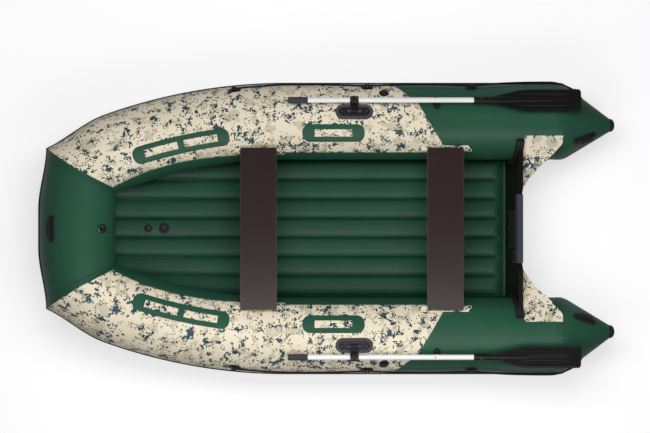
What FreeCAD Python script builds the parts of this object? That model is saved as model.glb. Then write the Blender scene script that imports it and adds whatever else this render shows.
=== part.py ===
import FreeCAD, Part
import math
import os

V = FreeCAD.Vector
AFT = V(-1, 0, 0)
FORE = V(1, 0, 0)
SIDE = V(0, 1, 0)
UP = V(0, 0, 1)
ORIGIN = V(0, 0, 0)

# Clearances: pieces at rest on each other, running fits round pins, and free air.
REST_GAP = 0.3
RUN_GAP = 0.6

# Air tubes: two side tubes on parallel axes that bend in and rise to a straight bow tube.
TUBE_R = 210.0
TUBE_Y = 595.0
SKID_T = 3.0
SKID_HALF = 35.0
TUBE_Z = TUBE_R + REST_GAP + SKID_T
STERN_X = -1290.0
BEND_X = 230.0
BEND_R = 2692.0
BEND_ANGLE = 25.4
BOW_RISE = 140.0
BEND_STATIONS = 7
LAST_STATION = 0.8
MITRE_OUT = 222.0
BOW_FLAT_Y = 110.0

# Stern cones, closed by a moulded cap, with the tip drawn in and up.
CONE_L = 284.0
CONE_TIP_R = 34.0
CONE_SHOULDER = 55.0
CONE_TIP_IN = 20.0
CONE_TIP_UP = 30.0
SHOULDER_RINGS = 4
CAP_L = 26.0
CAP_LIP = 3.0
DOME_STEPS = 4

# Rubbing strake round the widest line.
STRAKE_T = 5.0
STRAKE_RIDGE = 4.0
STRAKE_HALF = 21.0
STRAKE_CREST_HALF = 8.0
STRAKE_SLOPE_HALF = 13.0
STRAKE_END = 48.0
STRAKE_BED = 2.0

# Inflated floor: ribs along the boat, in one mat that meets the tubes.
RIB_PITCH = 108.0
RIB_COUNT = 7
RIB_CREST = 24.0
FLOOR_TOP_Z = 92.0
FLOOR_LOW_Z = 34.0
FLOOR_BELLY = 12.0
FLOOR_MARGIN = 110.0
FLOOR_GAP = 1.0
FLOOR_STATIONS = 5
KEEL_HALF = 30.0
KEEL_T = 3.0

# Transom: a leaning board in moulded holders, with motor plates, cap and knees.
TRANSOM_X = -1004.0
TRANSOM_LEAN = 9.0
TRANSOM_T = 25.0
TRANSOM_LOW_Z = 48.0
TRANSOM_EAR_Z = 392.0
TRANSOM_NOTCH_Z = 368.0
NOTCH_HALF = 195.0
NOTCH_SLOPE = 30.0
EDGE_GAP = 10.0
HOLDER_T = 26.0
HOLDER_W = 56.0
HOLDER_SPAN = 62.0
HOLDER_LOW_SPAN = 29.0
CAP_DROP = 46.0
CAP_WALL = 4.0
PLATE_W = 274.0
PLATE_H = 190.0
PLATE_T = 8.0
PAD_W = 212.0
PAD_H = 170.0
PAD_T = 6.0
KNEE_ROLL = 24.0
KNEE_T = 3.0
KNEE_AFT = 232.0
KNEE_TAB = 45.0
KNEE_CUT = 60.0
KNEE_OUT_Y = 508.0
KNEE_IN_Y = 196.0

# Seats: planks on slide rails.
SEAT_W = 202.0
SEAT_OVERHANG = 16.0
SEAT_T = 15.0
SEAT_CORNER = 12.0
FORE_SEAT_X = 382.0
AFT_SEAT_X = -653.0
SEAT_TRAVEL = 45.0
BEAD_R = 6.0
BEAD_LIFT = 11.0
RAIL_ROLL = 46.0
RAIL_HALF = 22.0
RAIL_STEM = 5.0
RAIL_SINK = 22.0
RAIL_BASE = 3.0
CLEAT_HALF = 13.0
CLEAT_TOP = 15.0
CLEAT_LOW = 5.0
CLEAT_L = 150.0

# Oars on a rocking arm with an upright pivot.
OAR_ROLL = 26.7
OAR_LIFT = 44.0
OARLOCK_X = -148.0
SHAFT_R = 15.0
SHAFT_WALL = 2.0
SHAFT_FORE = 257.0
SHAFT_AFT = 699.0
GRIP_R = 18.0
GRIP_L = 111.0
GRIP_EDGE = 2.0
BASE_ROLL = 13.8
BASE_L = 209.0
BASE_W = 86.0
BASE_T = 6.0
BARREL_LIFT = 18.0
BARREL_R = 9.0
HINGE_PIN_R = 4.0
KNUCKLE_L = 40.0
LUG_L = 15.0
LUG_R = 10.0
BOSS_R = 11.0
BOSS_H = 9.0
BOSS_PITCH = 136.0
ARM_LOW = 10.5
ARM_T = 7.0
ARM_REACH = 24.0
PIVOT_R = 6.0
PIVOT_H = 9.5
COLLAR_R = 23.0
COLLAR_L = 47.0
COLLAR_FOOT = 34.0
BLADE_L = 592.0
BLADE_NECK_R = 20.0
BLADE_NECK_L = 80.0
BLADE_FLARE_L = 270.0
BLADE_HALF = 65.0
BLADE_T = 6.0
BLADE_SPINE = 11.0
BLADE_RIB = 4.0
BLADE_RIB_Y = 38.0
BLADE_RIM = 12.0
BLADE_CORNER = 16.0
CRADLE_X = -604.0
CRADLE_L = 44.0
CRADLE_W = 60.0
CRADLE_T = 4.0
CRADLE_KNOB_R = 8.0
CRADLE_KNOB_OFF = 23.0
CRADLE_KNOB_H = 18.0

# Lifeline and its holders down each side.
ROPE_R = 5.0
ROPE_LIFT = 13.0
ROPE_ROLL = 62.0
ROPE_END_ROLL = 84.0
ROPE_SAG = 6.0
ROPE_X = (505.0, -220.0, -800.0, -1302.0, -1385.0)
ROPE_STEPS = (4, 4, 4, 1)
ROPE_HELD = (0, 1, 2, 4)
ARC_SHARE = 0.45
HOLDER_L = 72.0
HOLDER_H = 44.0
HOLDER_BASE = 3.0
EYE_R = 10.5
EYE_L = 30.0

# Fabric frames glued on the tube tops.
FRAME_T = 2.0
FRAME_HALF = 48.0
FRAME_WINDOW_HALF = 20.0
FRAME_CORNER = 43.0
WINDOW_CORNER = 2.0
FRAME_OFFSET = 66.0
FORE_FRAME_FROM = 6.9
FORE_FRAME_TO = 18.8
FORE_WINDOW_L = 188.0
FORE_WINDOW_GAP = 36.0
MID_FRAME_X = -33.0
MID_FRAME_L = 345.0
MID_WINDOW_L = 209.0

# Carry handles: two on the cones, one on the bow.
HANDLE_L = 150.0
HANDLE_W = 42.0
HANDLE_BASE = 6.0
HANDLE_BED = 2.0
HANDLE_RISE = 38.0
HANDLE_BAR = 15.0
HANDLE_GRIP_W = 28.0
HANDLE_LEG = 20.0
HANDLE_END = 12.5
HANDLE_SHOULDER = 17.0
ROUND_END = 1.0
CONE_HANDLE_AT = 0.48
CONE_HANDLE_ROLL = 38.0
BOW_HANDLE_ROLL = 38.6

# Valves and the bow ring.
VALVE_R = 27.0
VALVE_FLANGE = 3.0
VALVE_CAP_R = 19.0
VALVE_CAP_H = 9.0
VALVE_EDGE = 3.0
SIDE_VALVE_X = -312.0
SIDE_VALVE_ROLL = 47.0
FLOOR_VALVE_AFT = 470.0
FLOOR_DRAIN_AFT = 382.0
FLOOR_VALVE_R = 30.0
FLOOR_DRAIN_R = 23.0
BOW_RING_ROLL = 44.0
BOW_RING_R = 26.0
RING_BAR = 5.0
RING_SIDES = 8
RING_BASE_T = 5.0
RING_MID_R = 17.0
RING_FOOT = 9.0

BIG = 2000.0


def unit(angle):
    """Cosine and sine of an angle in degrees."""
    return math.cos(math.radians(angle)), math.sin(math.radians(angle))


BOW_COS, BOW_SIN = unit(BEND_ANGLE)
BOW_X = BEND_X + BEND_R * BOW_SIN
BOW_Y = TUBE_Y - BEND_R * (1.0 - BOW_COS)
MITRE_TURN = (90.0 - BEND_ANGLE) / 2.0
MITRE_IN = TUBE_R / math.cos(math.radians(MITRE_TURN))
BOW_Z = TUBE_Z + BOW_RISE
FLOOR_AFT_X = TRANSOM_X + REST_GAP
RAIL_L = SEAT_W + 2.0 * SEAT_TRAVEL
TRANSOM_TOP_X = TRANSOM_X - TRANSOM_T - math.tan(math.radians(TRANSOM_LEAN)) * (
    TRANSOM_EAR_Z - TRANSOM_LOW_Z
)


def rise(x):
    """Height that the tubes and floor gain at a place along the boat."""
    part = max(0.0, (x - BEND_X) / (BOW_X - BEND_X))
    return BOW_RISE * part * part


def rise_slope(x):
    """Slope of that gain."""
    part = max(0.0, (x - BEND_X) / (BOW_X - BEND_X))
    return 2.0 * BOW_RISE * part / (BOW_X - BEND_X)


def floor_lift(x):
    """Height that the fore floor's panel has gained at a place along the boat, and its slope."""
    step = (BOW_X - BEND_X) / (FLOOR_STATIONS - 1)
    start = BEND_X + step * math.floor((x - BEND_X) / step)
    slope = (rise(start + step) - rise(start)) / step
    return rise(start) + slope * (x - start), slope


def placed(shape, origin, ex, ey):
    """Shape moved from its own axes to an origin, with its X and Y along ex and ey."""
    ez = ex.cross(ey)
    shape.Placement = FreeCAD.Placement(FreeCAD.Matrix(
        ex.x, ey.x, ez.x, origin.x,
        ex.y, ey.y, ez.y, origin.y,
        ex.z, ey.z, ez.z, origin.z,
        0, 0, 0, 1,
    ))
    return shape


def station(angle):
    """Point, outboard and up directions of the port tube's axis at an angle of its bend."""
    cos, sin = unit(angle)
    x = BEND_X + BEND_R * sin
    point = V(x, TUBE_Y - BEND_R * (1.0 - cos), TUBE_Z + rise(x))
    tangent = V(cos, -sin, rise_slope(x) * cos).normalize()
    outboard = V(sin, cos, 0)
    return point, outboard, tangent.cross(outboard)


def axis_at(x):
    """Point, outboard and up directions of the port tube's axis at a place along the boat."""
    if x <= BEND_X:
        return V(x, TUBE_Y, TUBE_Z), SIDE, UP
    return station(math.degrees(math.asin((x - BEND_X) / BEND_R)))


def bend_angles():
    """Angles of the sections through the bend."""
    step = BEND_ANGLE * LAST_STATION / (BEND_STATIONS - 1)
    return [step * i for i in range(BEND_STATIONS)]


def mitre_frame():
    """Point, outward and up directions of the plane where side and bow tube meet."""
    cos, sin = unit(MITRE_TURN)
    return V(BOW_X, BOW_Y, BOW_Z), V(cos, sin, 0), UP


def ring_wire(origin, ex, ey, radius):
    """Round section."""
    circle = Part.Circle()
    circle.Radius = radius
    return placed(Part.Wire(circle.toShape()), origin, ex, ey)


def mitre_wire(extra):
    """Oval section in the mitre plane, fuller inboard than outboard."""
    origin, ex, ey = mitre_frame()
    inner = MITRE_IN + extra
    outer = MITRE_OUT + extra
    oval = Part.Ellipse(ORIGIN, (inner + outer) / 2.0, TUBE_R + extra)
    middle = origin + ex * ((outer - inner) / 2.0)
    return placed(Part.Wire(oval.toShape()), middle, ex, ey)


def loft(wires):
    """Solid of flat cut panels through the sections."""
    return Part.makeLoft(wires, True, True)


def straight_tube(extra):
    """Port tube's straight run."""
    return Part.makeCylinder(TUBE_R + extra, BEND_X - STERN_X, V(STERN_X, TUBE_Y, TUBE_Z), FORE)


def bent_tube(extra):
    """Port tube's bend, in panels, with its fore end on the mitre plane."""
    frames = [station(angle) for angle in bend_angles()]
    wires = [ring_wire(*frame, TUBE_R + extra) for frame in frames]
    return loft(wires + [mitre_wire(extra)])


def side_tube(extra=0.0):
    """Port side tube from the cone seam to the mitre."""
    return straight_tube(extra).fuse(bent_tube(extra)).removeSplitter()


def bow_tube(extra=0.0):
    """Bow tube between the two mitre planes."""
    port = mitre_wire(extra)
    rings = [
        ring_wire(V(BOW_X, y, BOW_Z), FORE, UP, TUBE_R + extra)
        for y in (-BOW_FLAT_Y, BOW_FLAT_Y)
    ]
    starboard = mitre_wire(extra)
    origin, ex, ey = mitre_frame()
    inner = MITRE_IN + extra
    outer = MITRE_OUT + extra
    flipped = V(ex.x, -ex.y, 0)
    middle = V(origin.x, -origin.y, origin.z) + flipped * ((outer - inner) / 2.0)
    starboard = placed(starboard, middle, flipped, ey)
    return loft([starboard] + rings + [port])


def cone_at(share):
    """Centre and radius of the cone at a share of its length from the seam."""
    shoulder = CONE_SHOULDER / CONE_L
    fall = max(0.0, share - shoulder / 2.0) / (1.0 - shoulder / 2.0)
    if share < shoulder:
        fall = share * share / (2.0 * shoulder) / (1.0 - shoulder / 2.0)
    centre = V(
        STERN_X - CONE_L * share,
        TUBE_Y - CONE_TIP_IN * fall,
        TUBE_Z + CONE_TIP_UP * fall,
    )
    return centre, TUBE_R + (CONE_TIP_R - TUBE_R) * fall


def stern_cone(extra=0.0):
    """Port stern cone with a round shoulder."""
    shoulder = CONE_SHOULDER / CONE_L
    shares = [shoulder * i / (SHOULDER_RINGS - 1) for i in range(SHOULDER_RINGS)]
    wires = []
    for share in shares + [1.0]:
        centre, radius = cone_at(share)
        wires.append(ring_wire(centre, SIDE, UP, radius + extra))
    return loft(wires)


def turned(profile, origin, axis, radial):
    """Solid turned about an axis from (along, radius) points of its half section."""
    points = [origin + axis * along + radial * radius for along, radius in profile]
    face = Part.Face(Part.makePolygon(points + points[:1]))
    return face.revolve(origin, axis, 360.0)


def cone_cap():
    """Domed cap on the cone's tip."""
    centre, radius = cone_at(1.0)
    rim = radius + CAP_LIP
    profile = [(0, 0), (0, rim)]
    for i in range(DOME_STEPS + 1):
        cos, sin = unit(90.0 * i / (DOME_STEPS + 1))
        profile.append((CAP_LIP + (CAP_L - CAP_LIP) * sin, rim * cos))
    profile.append((CAP_L, 0))
    return turned(profile, centre, AFT, UP)


def strip_wire(frame, radius):
    """Section of the strake on the outboard side of a round section, with a raised crest."""
    origin, ex, ey = frame
    near = radius - STRAKE_BED
    mid = radius + REST_GAP + STRAKE_T
    far = mid + STRAKE_RIDGE
    half = [(near, STRAKE_HALF), (mid, STRAKE_HALF), (mid, STRAKE_SLOPE_HALF)]
    half.append((far, STRAKE_CREST_HALF))
    corners = half + [(out, -high) for out, high in reversed(half)]
    points = [origin + ex * out + ey * high for out, high in corners]
    return Part.makePolygon(points + points[:1])


def strake_side():
    """Port strake from the cone to the mitre."""
    cone = []
    for length in (STRAKE_END, STRAKE_END / 2.0, 0.0):
        centre, radius = cone_at(length / CONE_L)
        cone.append(strip_wire((centre, SIDE, UP), radius))
    stern = strip_wire((V(STERN_X, TUBE_Y, TUBE_Z), SIDE, UP), TUBE_R)
    middle = Part.Face(stern).extrude(V(BEND_X - STERN_X, 0, 0))
    bend = [strip_wire(station(angle), TUBE_R) for angle in bend_angles()]
    bend.append(strip_wire(mitre_frame(), MITRE_OUT))
    whole = middle.multiFuse([loft(cone), loft(bend)]).removeSplitter()
    return whole.cut(stern_cone(REST_GAP)).cut(side_tube(REST_GAP))


def strake_bow():
    """Strake across the bow, a rest gap short of each mitre plane."""
    origin, ex, ey = mitre_frame()
    origin = origin + ex.cross(ey) * REST_GAP
    frames = [
        (V(origin.x, -origin.y, origin.z), V(ex.x, -ex.y, 0), ey),
        (V(BOW_X, -BOW_FLAT_Y, BOW_Z), FORE, UP),
        (V(BOW_X, BOW_FLAT_Y, BOW_Z), FORE, UP),
        (origin, ex, ey),
    ]
    radii = (MITRE_OUT, TUBE_R, TUBE_R, MITRE_OUT)
    wires = [strip_wire(frame, radius) for frame, radius in zip(frames, radii)]
    return loft(wires).cut(bow_tube(REST_GAP))


def skid():
    """Armour tape under the port tube's straight run."""
    outer = straight_tube(REST_GAP + SKID_T)
    ring = outer.cut(straight_tube(REST_GAP))
    band = Part.makeBox(
        BEND_X - STERN_X, 2.0 * SKID_HALF, TUBE_R, V(STERN_X, TUBE_Y - SKID_HALF, 0)
    )
    return ring.common(band)


def floor_wire(x):
    """Section of the floor mat: ribs above, a lightly bellied skin below."""
    lift = rise(x)
    half = RIB_PITCH * RIB_COUNT / 2.0
    low = FLOOR_LOW_Z + lift
    valley = FLOOR_TOP_Z + lift
    edges = []
    for i in range(RIB_COUNT):
        start = -half + i * RIB_PITCH
        a = V(x, start, valley)
        top = V(x, start + RIB_PITCH / 2.0, valley + RIB_CREST)
        b = V(x, start + RIB_PITCH, valley)
        edges.append(Part.Arc(a, top, b).toShape())
    wide = half + FLOOR_MARGIN
    edges.append(Part.makeLine(V(x, half, valley), V(x, wide, valley)))
    edges.append(Part.makeLine(V(x, wide, valley), V(x, wide, low)))
    belly = V(x, 0, low - FLOOR_BELLY)
    edges.append(Part.Arc(V(x, wide, low), belly, V(x, -wide, low)).toShape())
    edges.append(Part.makeLine(V(x, -wide, low), V(x, -wide, valley)))
    edges.append(Part.makeLine(V(x, -wide, valley), V(x, -half, valley)))
    return Part.Wire(edges)


def floor_mat(tubes):
    """Floor mat, trimmed to the tubes."""
    aft = Part.Face(floor_wire(FLOOR_AFT_X)).extrude(V(BEND_X - FLOOR_AFT_X, 0, 0))
    step = (BOW_X - BEND_X) / (FLOOR_STATIONS - 1)
    xs = [BEND_X + step * i for i in range(FLOOR_STATIONS)]
    fore = loft([floor_wire(x) for x in xs])
    mat = aft.fuse(fore).removeSplitter()
    for tube in tubes:
        mat = mat.cut(tube)
    return max(mat.Solids, key=lambda solid: solid.Volume)


def keel_strip():
    """Armour tape along the belly of the floor."""
    low = FLOOR_LOW_Z - FLOOR_BELLY - REST_GAP - KEEL_T
    return Part.makeBox(
        BEND_X - FLOOR_AFT_X, 2.0 * KEEL_HALF, KEEL_T, V(FLOOR_AFT_X, -KEEL_HALF, low)
    )


def lean(shape):
    """Shape turned from upright to the transom's lean, about the foot of its fore face."""
    shape.rotate(V(TRANSOM_X, 0, TRANSOM_LOW_Z), SIDE, -TRANSOM_LEAN)
    return shape


def plate_on_transom(fore_x, low, high, half, thick):
    """Upright plate before it leans, from its fore face aft."""
    return Part.makeBox(thick, 2.0 * half, high - low, V(fore_x - thick, -half, low))


def transom_blank(extra=0.0):
    """Board outline with raised ears either side of the motor's notch."""
    wide = TUBE_Y
    slope = NOTCH_HALF + NOTCH_SLOPE
    points = [
        (-wide, TRANSOM_LOW_Z), (wide, TRANSOM_LOW_Z), (wide, TRANSOM_EAR_Z),
        (slope, TRANSOM_EAR_Z), (NOTCH_HALF, TRANSOM_NOTCH_Z),
        (-NOTCH_HALF, TRANSOM_NOTCH_Z), (-slope, TRANSOM_EAR_Z), (-wide, TRANSOM_EAR_Z),
    ]
    corners = [V(TRANSOM_X + extra, y, z) for y, z in points]
    face = Part.Face(Part.makePolygon(corners + corners[:1]))
    return lean(face.extrude(V(-TRANSOM_T - 2.0 * extra, 0, 0)))


def both(shape):
    """Port shape and its mirror image."""
    return [shape, mirrored(shape)]


def mirrored(shape):
    return shape.mirror(ORIGIN, SIDE)


def transom_board():
    """Board with hollowed sides that stand off the tubes inside the holders."""
    board = transom_blank()
    for tube in both(straight_tube(EDGE_GAP)):
        board = board.cut(tube)
    return board


def transom_holder():
    """Port moulded holder: a grooved crescent on the tube that takes the board's edge."""
    ring = straight_tube(HOLDER_T).cut(straight_tube(REST_GAP))
    depth = (HOLDER_W - TRANSOM_T) / 2.0
    slab = lean(Part.makeBox(
        HOLDER_W, BIG, BIG, V(TRANSOM_X - TRANSOM_T - depth, -BIG / 2.0, -BIG / 2.0)
    ))
    apex = V(TRANSOM_X - BIG / 2.0, TUBE_Y, TUBE_Z)
    corners = [apex]
    for span in (HOLDER_SPAN, 0.0, -HOLDER_LOW_SPAN):
        cos, sin = unit(span)
        corners.append(apex + V(0, -cos, sin) * (2.0 * TUBE_R))
    wedge = Part.Face(Part.makePolygon(corners + corners[:1])).extrude(V(BIG, 0, 0))
    crescent = ring.common(slab).common(wedge).cut(transom_blank(REST_GAP))
    return crescent.cut(knee(-REST_GAP, TUBE_R))


def transom_cap():
    """Channel over the notch's edge."""
    over = CAP_WALL + REST_GAP
    half = NOTCH_HALF - CAP_WALL
    low = TRANSOM_NOTCH_Z - CAP_DROP
    outer = Part.makeBox(
        TRANSOM_T + 2.0 * over, 2.0 * half, CAP_DROP + over,
        V(TRANSOM_X - TRANSOM_T - over, -half, low),
    )
    slot = Part.makeBox(
        TRANSOM_T + 2.0 * REST_GAP, 2.0 * half, CAP_DROP + REST_GAP,
        V(TRANSOM_X - TRANSOM_T - REST_GAP, -half, low),
    )
    return lean(outer.cut(slot))


def motor_plate():
    """Thick plate on the board's aft face, below the cap."""
    high = TRANSOM_NOTCH_Z - CAP_DROP - REST_GAP
    return lean(plate_on_transom(
        TRANSOM_X - TRANSOM_T - REST_GAP, high - PLATE_H, high, PLATE_W / 2.0, PLATE_T
    ))


def clamp_pad():
    """Plate for the motor's clamps on the board's fore face, below the cap."""
    high = TRANSOM_NOTCH_Z - CAP_DROP - REST_GAP
    return lean(plate_on_transom(
        TRANSOM_X + REST_GAP + PAD_T, high - PAD_H, high, PAD_W / 2.0, PAD_T
    ))


def knee(lift=0.0, thick=KNEE_T):
    """Port fabric knee: a sheet that leaves the tube's top on its tangent for the board."""
    cos, sin = unit(KNEE_ROLL)
    near = TUBE_R + REST_GAP
    along = V(0, -cos, -sin)
    out = V(0, -sin, cos)
    start = V(TRANSOM_X, TUBE_Y, TUBE_Z) + out * near
    lead = (start.y - KNEE_OUT_Y) / cos
    far = (start.y - KNEE_IN_Y) / cos
    aft = TRANSOM_TOP_X - KNEE_AFT
    profile = [
        (TRANSOM_X, lead), (aft, lead), (aft, lead + KNEE_TAB),
        (aft + KNEE_CUT, lead + 3.0 * KNEE_TAB), (TRANSOM_TOP_X - KNEE_CUT, far - 2.0 * KNEE_TAB),
        (TRANSOM_TOP_X, far), (TRANSOM_X, far),
    ]
    corners = [V(x, start.y, start.z) + along * down + out * lift for x, down in profile]
    sheet = Part.Face(Part.makePolygon(corners + corners[:1])).extrude(out * thick)
    forward = lean(Part.makeBox(
        BIG, 2.0 * BIG, BIG, V(TRANSOM_X - TRANSOM_T - REST_GAP, -BIG, -BIG / 2.0)
    ))
    return sheet.cut(forward)


def bead_line(seat_x):
    """Port bead's Y and Z: clear of the tube at the fore end of the rail."""
    cos, sin = unit(RAIL_ROLL)
    point, outboard, up = axis_at(seat_x + SEAT_W / 2.0 + SEAT_TRAVEL)
    out = TUBE_R + BEAD_LIFT
    return point.y - out * sin, point.z + out * cos


def seat_rail(seat_x, tube):
    """Port slide rail: a bead on a stem and a flange, straight, and trimmed to the tube."""
    y, z = bead_line(seat_x)
    cos, sin = unit(RAIL_ROLL)
    aft = seat_x - RAIL_L / 2.0
    bead = Part.makeCylinder(BEAD_R, RAIL_L, V(aft, y, z), FORE)
    out = V(0, -sin, cos)
    across = V(0, cos, sin)
    foot = V(aft, y, z) - out * (BEAD_LIFT - RAIL_BASE - REST_GAP)
    deep = out * RAIL_SINK
    droop = out * (RAIL_HALF * RAIL_HALF / TUBE_R / 2.0)
    stem_corners = [
        V(aft, y, z) + across * (RAIL_STEM / 2.0), V(aft, y, z) - across * (RAIL_STEM / 2.0),
        foot - across * (RAIL_STEM / 2.0) - out, foot + across * (RAIL_STEM / 2.0) - out,
    ]
    base_corners = [
        foot + across * RAIL_HALF - droop, foot, foot - across * RAIL_HALF - droop,
        foot - across * RAIL_HALF - deep, foot + across * RAIL_HALF - deep,
    ]
    stem = Part.Face(Part.makePolygon(stem_corners + stem_corners[:1]))
    base = Part.Face(Part.makePolygon(base_corners + base_corners[:1]))
    run = V(RAIL_L, 0, 0)
    rail = bead.multiFuse([stem.extrude(run), base.extrude(run)])
    return rail.cut(tube).removeSplitter()


def seat_plank(seat_x):
    """Plank with rounded corners."""
    y, z = bead_line(seat_x)
    half = bead_line(AFT_SEAT_X)[0] + SEAT_OVERHANG
    plank = Part.makeBox(
        SEAT_W, 2.0 * half, SEAT_T, V(seat_x - SEAT_W / 2.0, -half, z + CLEAT_TOP)
    )
    upright = [e for e in plank.Edges if e.BoundBox.ZLength > SEAT_T / 2.0]
    return plank.makeFillet(SEAT_CORNER, upright)


def seat_cleat(seat_x):
    """Port cleat under a plank: a channel that hooks round the bead."""
    y, z = bead_line(seat_x)
    aft = seat_x - CLEAT_L / 2.0
    block = Part.makeBox(
        CLEAT_L, 2.0 * CLEAT_HALF, CLEAT_TOP + CLEAT_LOW, V(aft, y - CLEAT_HALF, z - CLEAT_LOW)
    )
    bore = Part.makeCylinder(BEAD_R + RUN_GAP, CLEAT_L, V(aft, y, z), FORE)
    cos, sin = unit(RAIL_ROLL)
    out = V(0, -sin, cos)
    across = V(0, cos, sin) * (RAIL_STEM / 2.0 + 2.0 * RUN_GAP)
    low = V(aft, y, z) - out * (2.0 * BEAD_LIFT)
    wide = V(0, cos, sin) * RAIL_HALF
    mouth = [V(aft, y, z) + across, V(aft, y, z) - across, low - wide, low + wide]
    slot = Part.Face(Part.makePolygon(mouth + mouth[:1])).extrude(V(CLEAT_L, 0, 0))
    return block.cut(bore).cut(slot)


def roll_frame(x, roll, lift):
    """Point, outward and across directions at a roll from the top of the port tube."""
    cos, sin = unit(roll)
    point, outboard, up = axis_at(x)
    out = outboard * sin + up * cos
    across = outboard * cos - up * sin
    return point + out * (TUBE_R + lift), out, across


def stadium(length, width, height, corner):
    """Block with rounded corners, about its own middle, from Z 0 up."""
    block = Part.makeBox(length, width, height, V(-length / 2.0, -width / 2.0, 0))
    upright = [e for e in block.Edges if e.BoundBox.ZLength > height / 2.0]
    return block.makeFillet(corner, upright)


def patch(x, roll, length, width, thick, corner):
    """Rounded patch that hugs the port tube's straight run."""
    point, out, across = roll_frame(x, roll, 0.0)
    cutter = stadium(length, width, TUBE_R, corner)
    cutter = placed(cutter, point - out * (TUBE_R / 2.0), FORE, out.cross(FORE))
    shell = straight_tube(REST_GAP + thick).cut(straight_tube(REST_GAP))
    return shell.common(cutter)


def oarlock_axis(lift):
    """Frame of the hinge barrel on the port tube."""
    return roll_frame(OARLOCK_X, BASE_ROLL, lift)


def oarlock_base():
    """Port oarlock base: a pad that hugs the tube, two lugs, and bosses fore and aft."""
    base = patch(OARLOCK_X, BASE_ROLL, BASE_L, BASE_W, BASE_T, BASE_W / 2.0 - ROUND_END)
    point, out, across = oarlock_axis(BARREL_LIFT)
    pieces = []
    start = KNUCKLE_L / 2.0 + RUN_GAP
    for aft in (start, -start - LUG_L):
        lug = Part.makeCylinder(LUG_R, LUG_L, point + FORE * aft, FORE)
        corner = point + FORE * aft - out * BARREL_LIFT - across * LUG_R
        web = placed(Part.makeBox(LUG_L, 2.0 * LUG_R, BARREL_LIFT), corner, FORE, across)
        pieces += [lug, web]
    for aft in (-BOSS_PITCH / 2.0, BOSS_PITCH / 2.0):
        foot = point - out * BARREL_LIFT + FORE * aft
        pieces.append(Part.makeCylinder(BOSS_R, BASE_T + BOSS_H, foot, out))
    solid = base.multiFuse(pieces).cut(straight_tube(REST_GAP))
    length = KNUCKLE_L + 4.0 * LUG_L
    bore = Part.makeCylinder(HINGE_PIN_R, length, point - FORE * (length / 2.0), FORE)
    return solid.cut(bore).removeSplitter()


def hinge_pin():
    """Port hinge pin through both lugs and the knuckle."""
    point, out, across = oarlock_axis(BARREL_LIFT)
    length = KNUCKLE_L + 2.0 * LUG_L + 2.0 * RUN_GAP
    return Part.makeCylinder(HINGE_PIN_R, length, point - FORE * (length / 2.0), FORE)


def oarlock_arm():
    """Port arm: a knuckle on the hinge pin, a plate, and the upright pivot pin."""
    hinge = oarlock_axis(BARREL_LIFT)[0]
    pivot, out, across = roll_frame(OARLOCK_X, OAR_ROLL, ARM_LOW)
    half = KNUCKLE_L / 2.0
    knuckle = Part.makeCylinder(BARREL_R, KNUCKLE_L, hinge - FORE * half, FORE)
    reach = (pivot - hinge).dot(across)
    plate = Part.makeBox(KNUCKLE_L, reach + ARM_REACH, ARM_T)
    plate = placed(plate, pivot - FORE * half - across * reach, FORE, across)
    pin = Part.makeCylinder(PIVOT_R, ARM_T + PIVOT_H, pivot, out)
    bore = Part.makeCylinder(HINGE_PIN_R + RUN_GAP, KNUCKLE_L, hinge - FORE * half, FORE)
    return knuckle.multiFuse([plate, pin]).cut(bore).removeSplitter()


def shaft_frame(lift=0.0):
    """Oar's axis above the port tube."""
    return roll_frame(OARLOCK_X, OAR_ROLL, OAR_LIFT + lift)


def oar_shaft():
    """Port shaft: one tube from the grip to inside the blade's neck."""
    point, out, across = shaft_frame()
    start = point - FORE * SHAFT_AFT
    length = SHAFT_AFT + SHAFT_FORE + GRIP_L - 2.0 * SHAFT_WALL
    return Part.makeCylinder(SHAFT_R, length, start, FORE)


def oar_grip():
    """Port grip: a ribbed sleeve over the shaft's end."""
    point, out, across = shaft_frame()
    start = point + FORE * SHAFT_FORE
    sleeve = Part.makeCylinder(GRIP_R, GRIP_L, start, FORE)
    bore = Part.makeCylinder(SHAFT_R + REST_GAP, GRIP_L - SHAFT_WALL, start, FORE)
    rim = [e for e in sleeve.Edges if abs(e.CenterOfMass.x - (start.x + GRIP_L)) < REST_GAP]
    return sleeve.makeChamfer(GRIP_EDGE, rim).cut(bore)


def oar_collar():
    """Port collar: a ring round the shaft on a foot that turns on the pivot pin."""
    point, out, across = shaft_frame()
    start = point - FORE * (COLLAR_L / 2.0)
    ring = Part.makeCylinder(COLLAR_R, COLLAR_L, start, FORE)
    foot_low = ARM_LOW + ARM_T + RUN_GAP
    foot, foot_out, foot_across = shaft_frame(foot_low - OAR_LIFT)
    block = Part.makeCylinder(COLLAR_FOOT / 2.0, OAR_LIFT - foot_low, foot, out)
    bore = Part.makeCylinder(SHAFT_R + REST_GAP, COLLAR_L, start, FORE)
    socket = Part.makeCylinder(PIVOT_R + REST_GAP, PIVOT_H, foot, out)
    return ring.fuse(block).cut(bore).cut(socket).removeSplitter()


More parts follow.
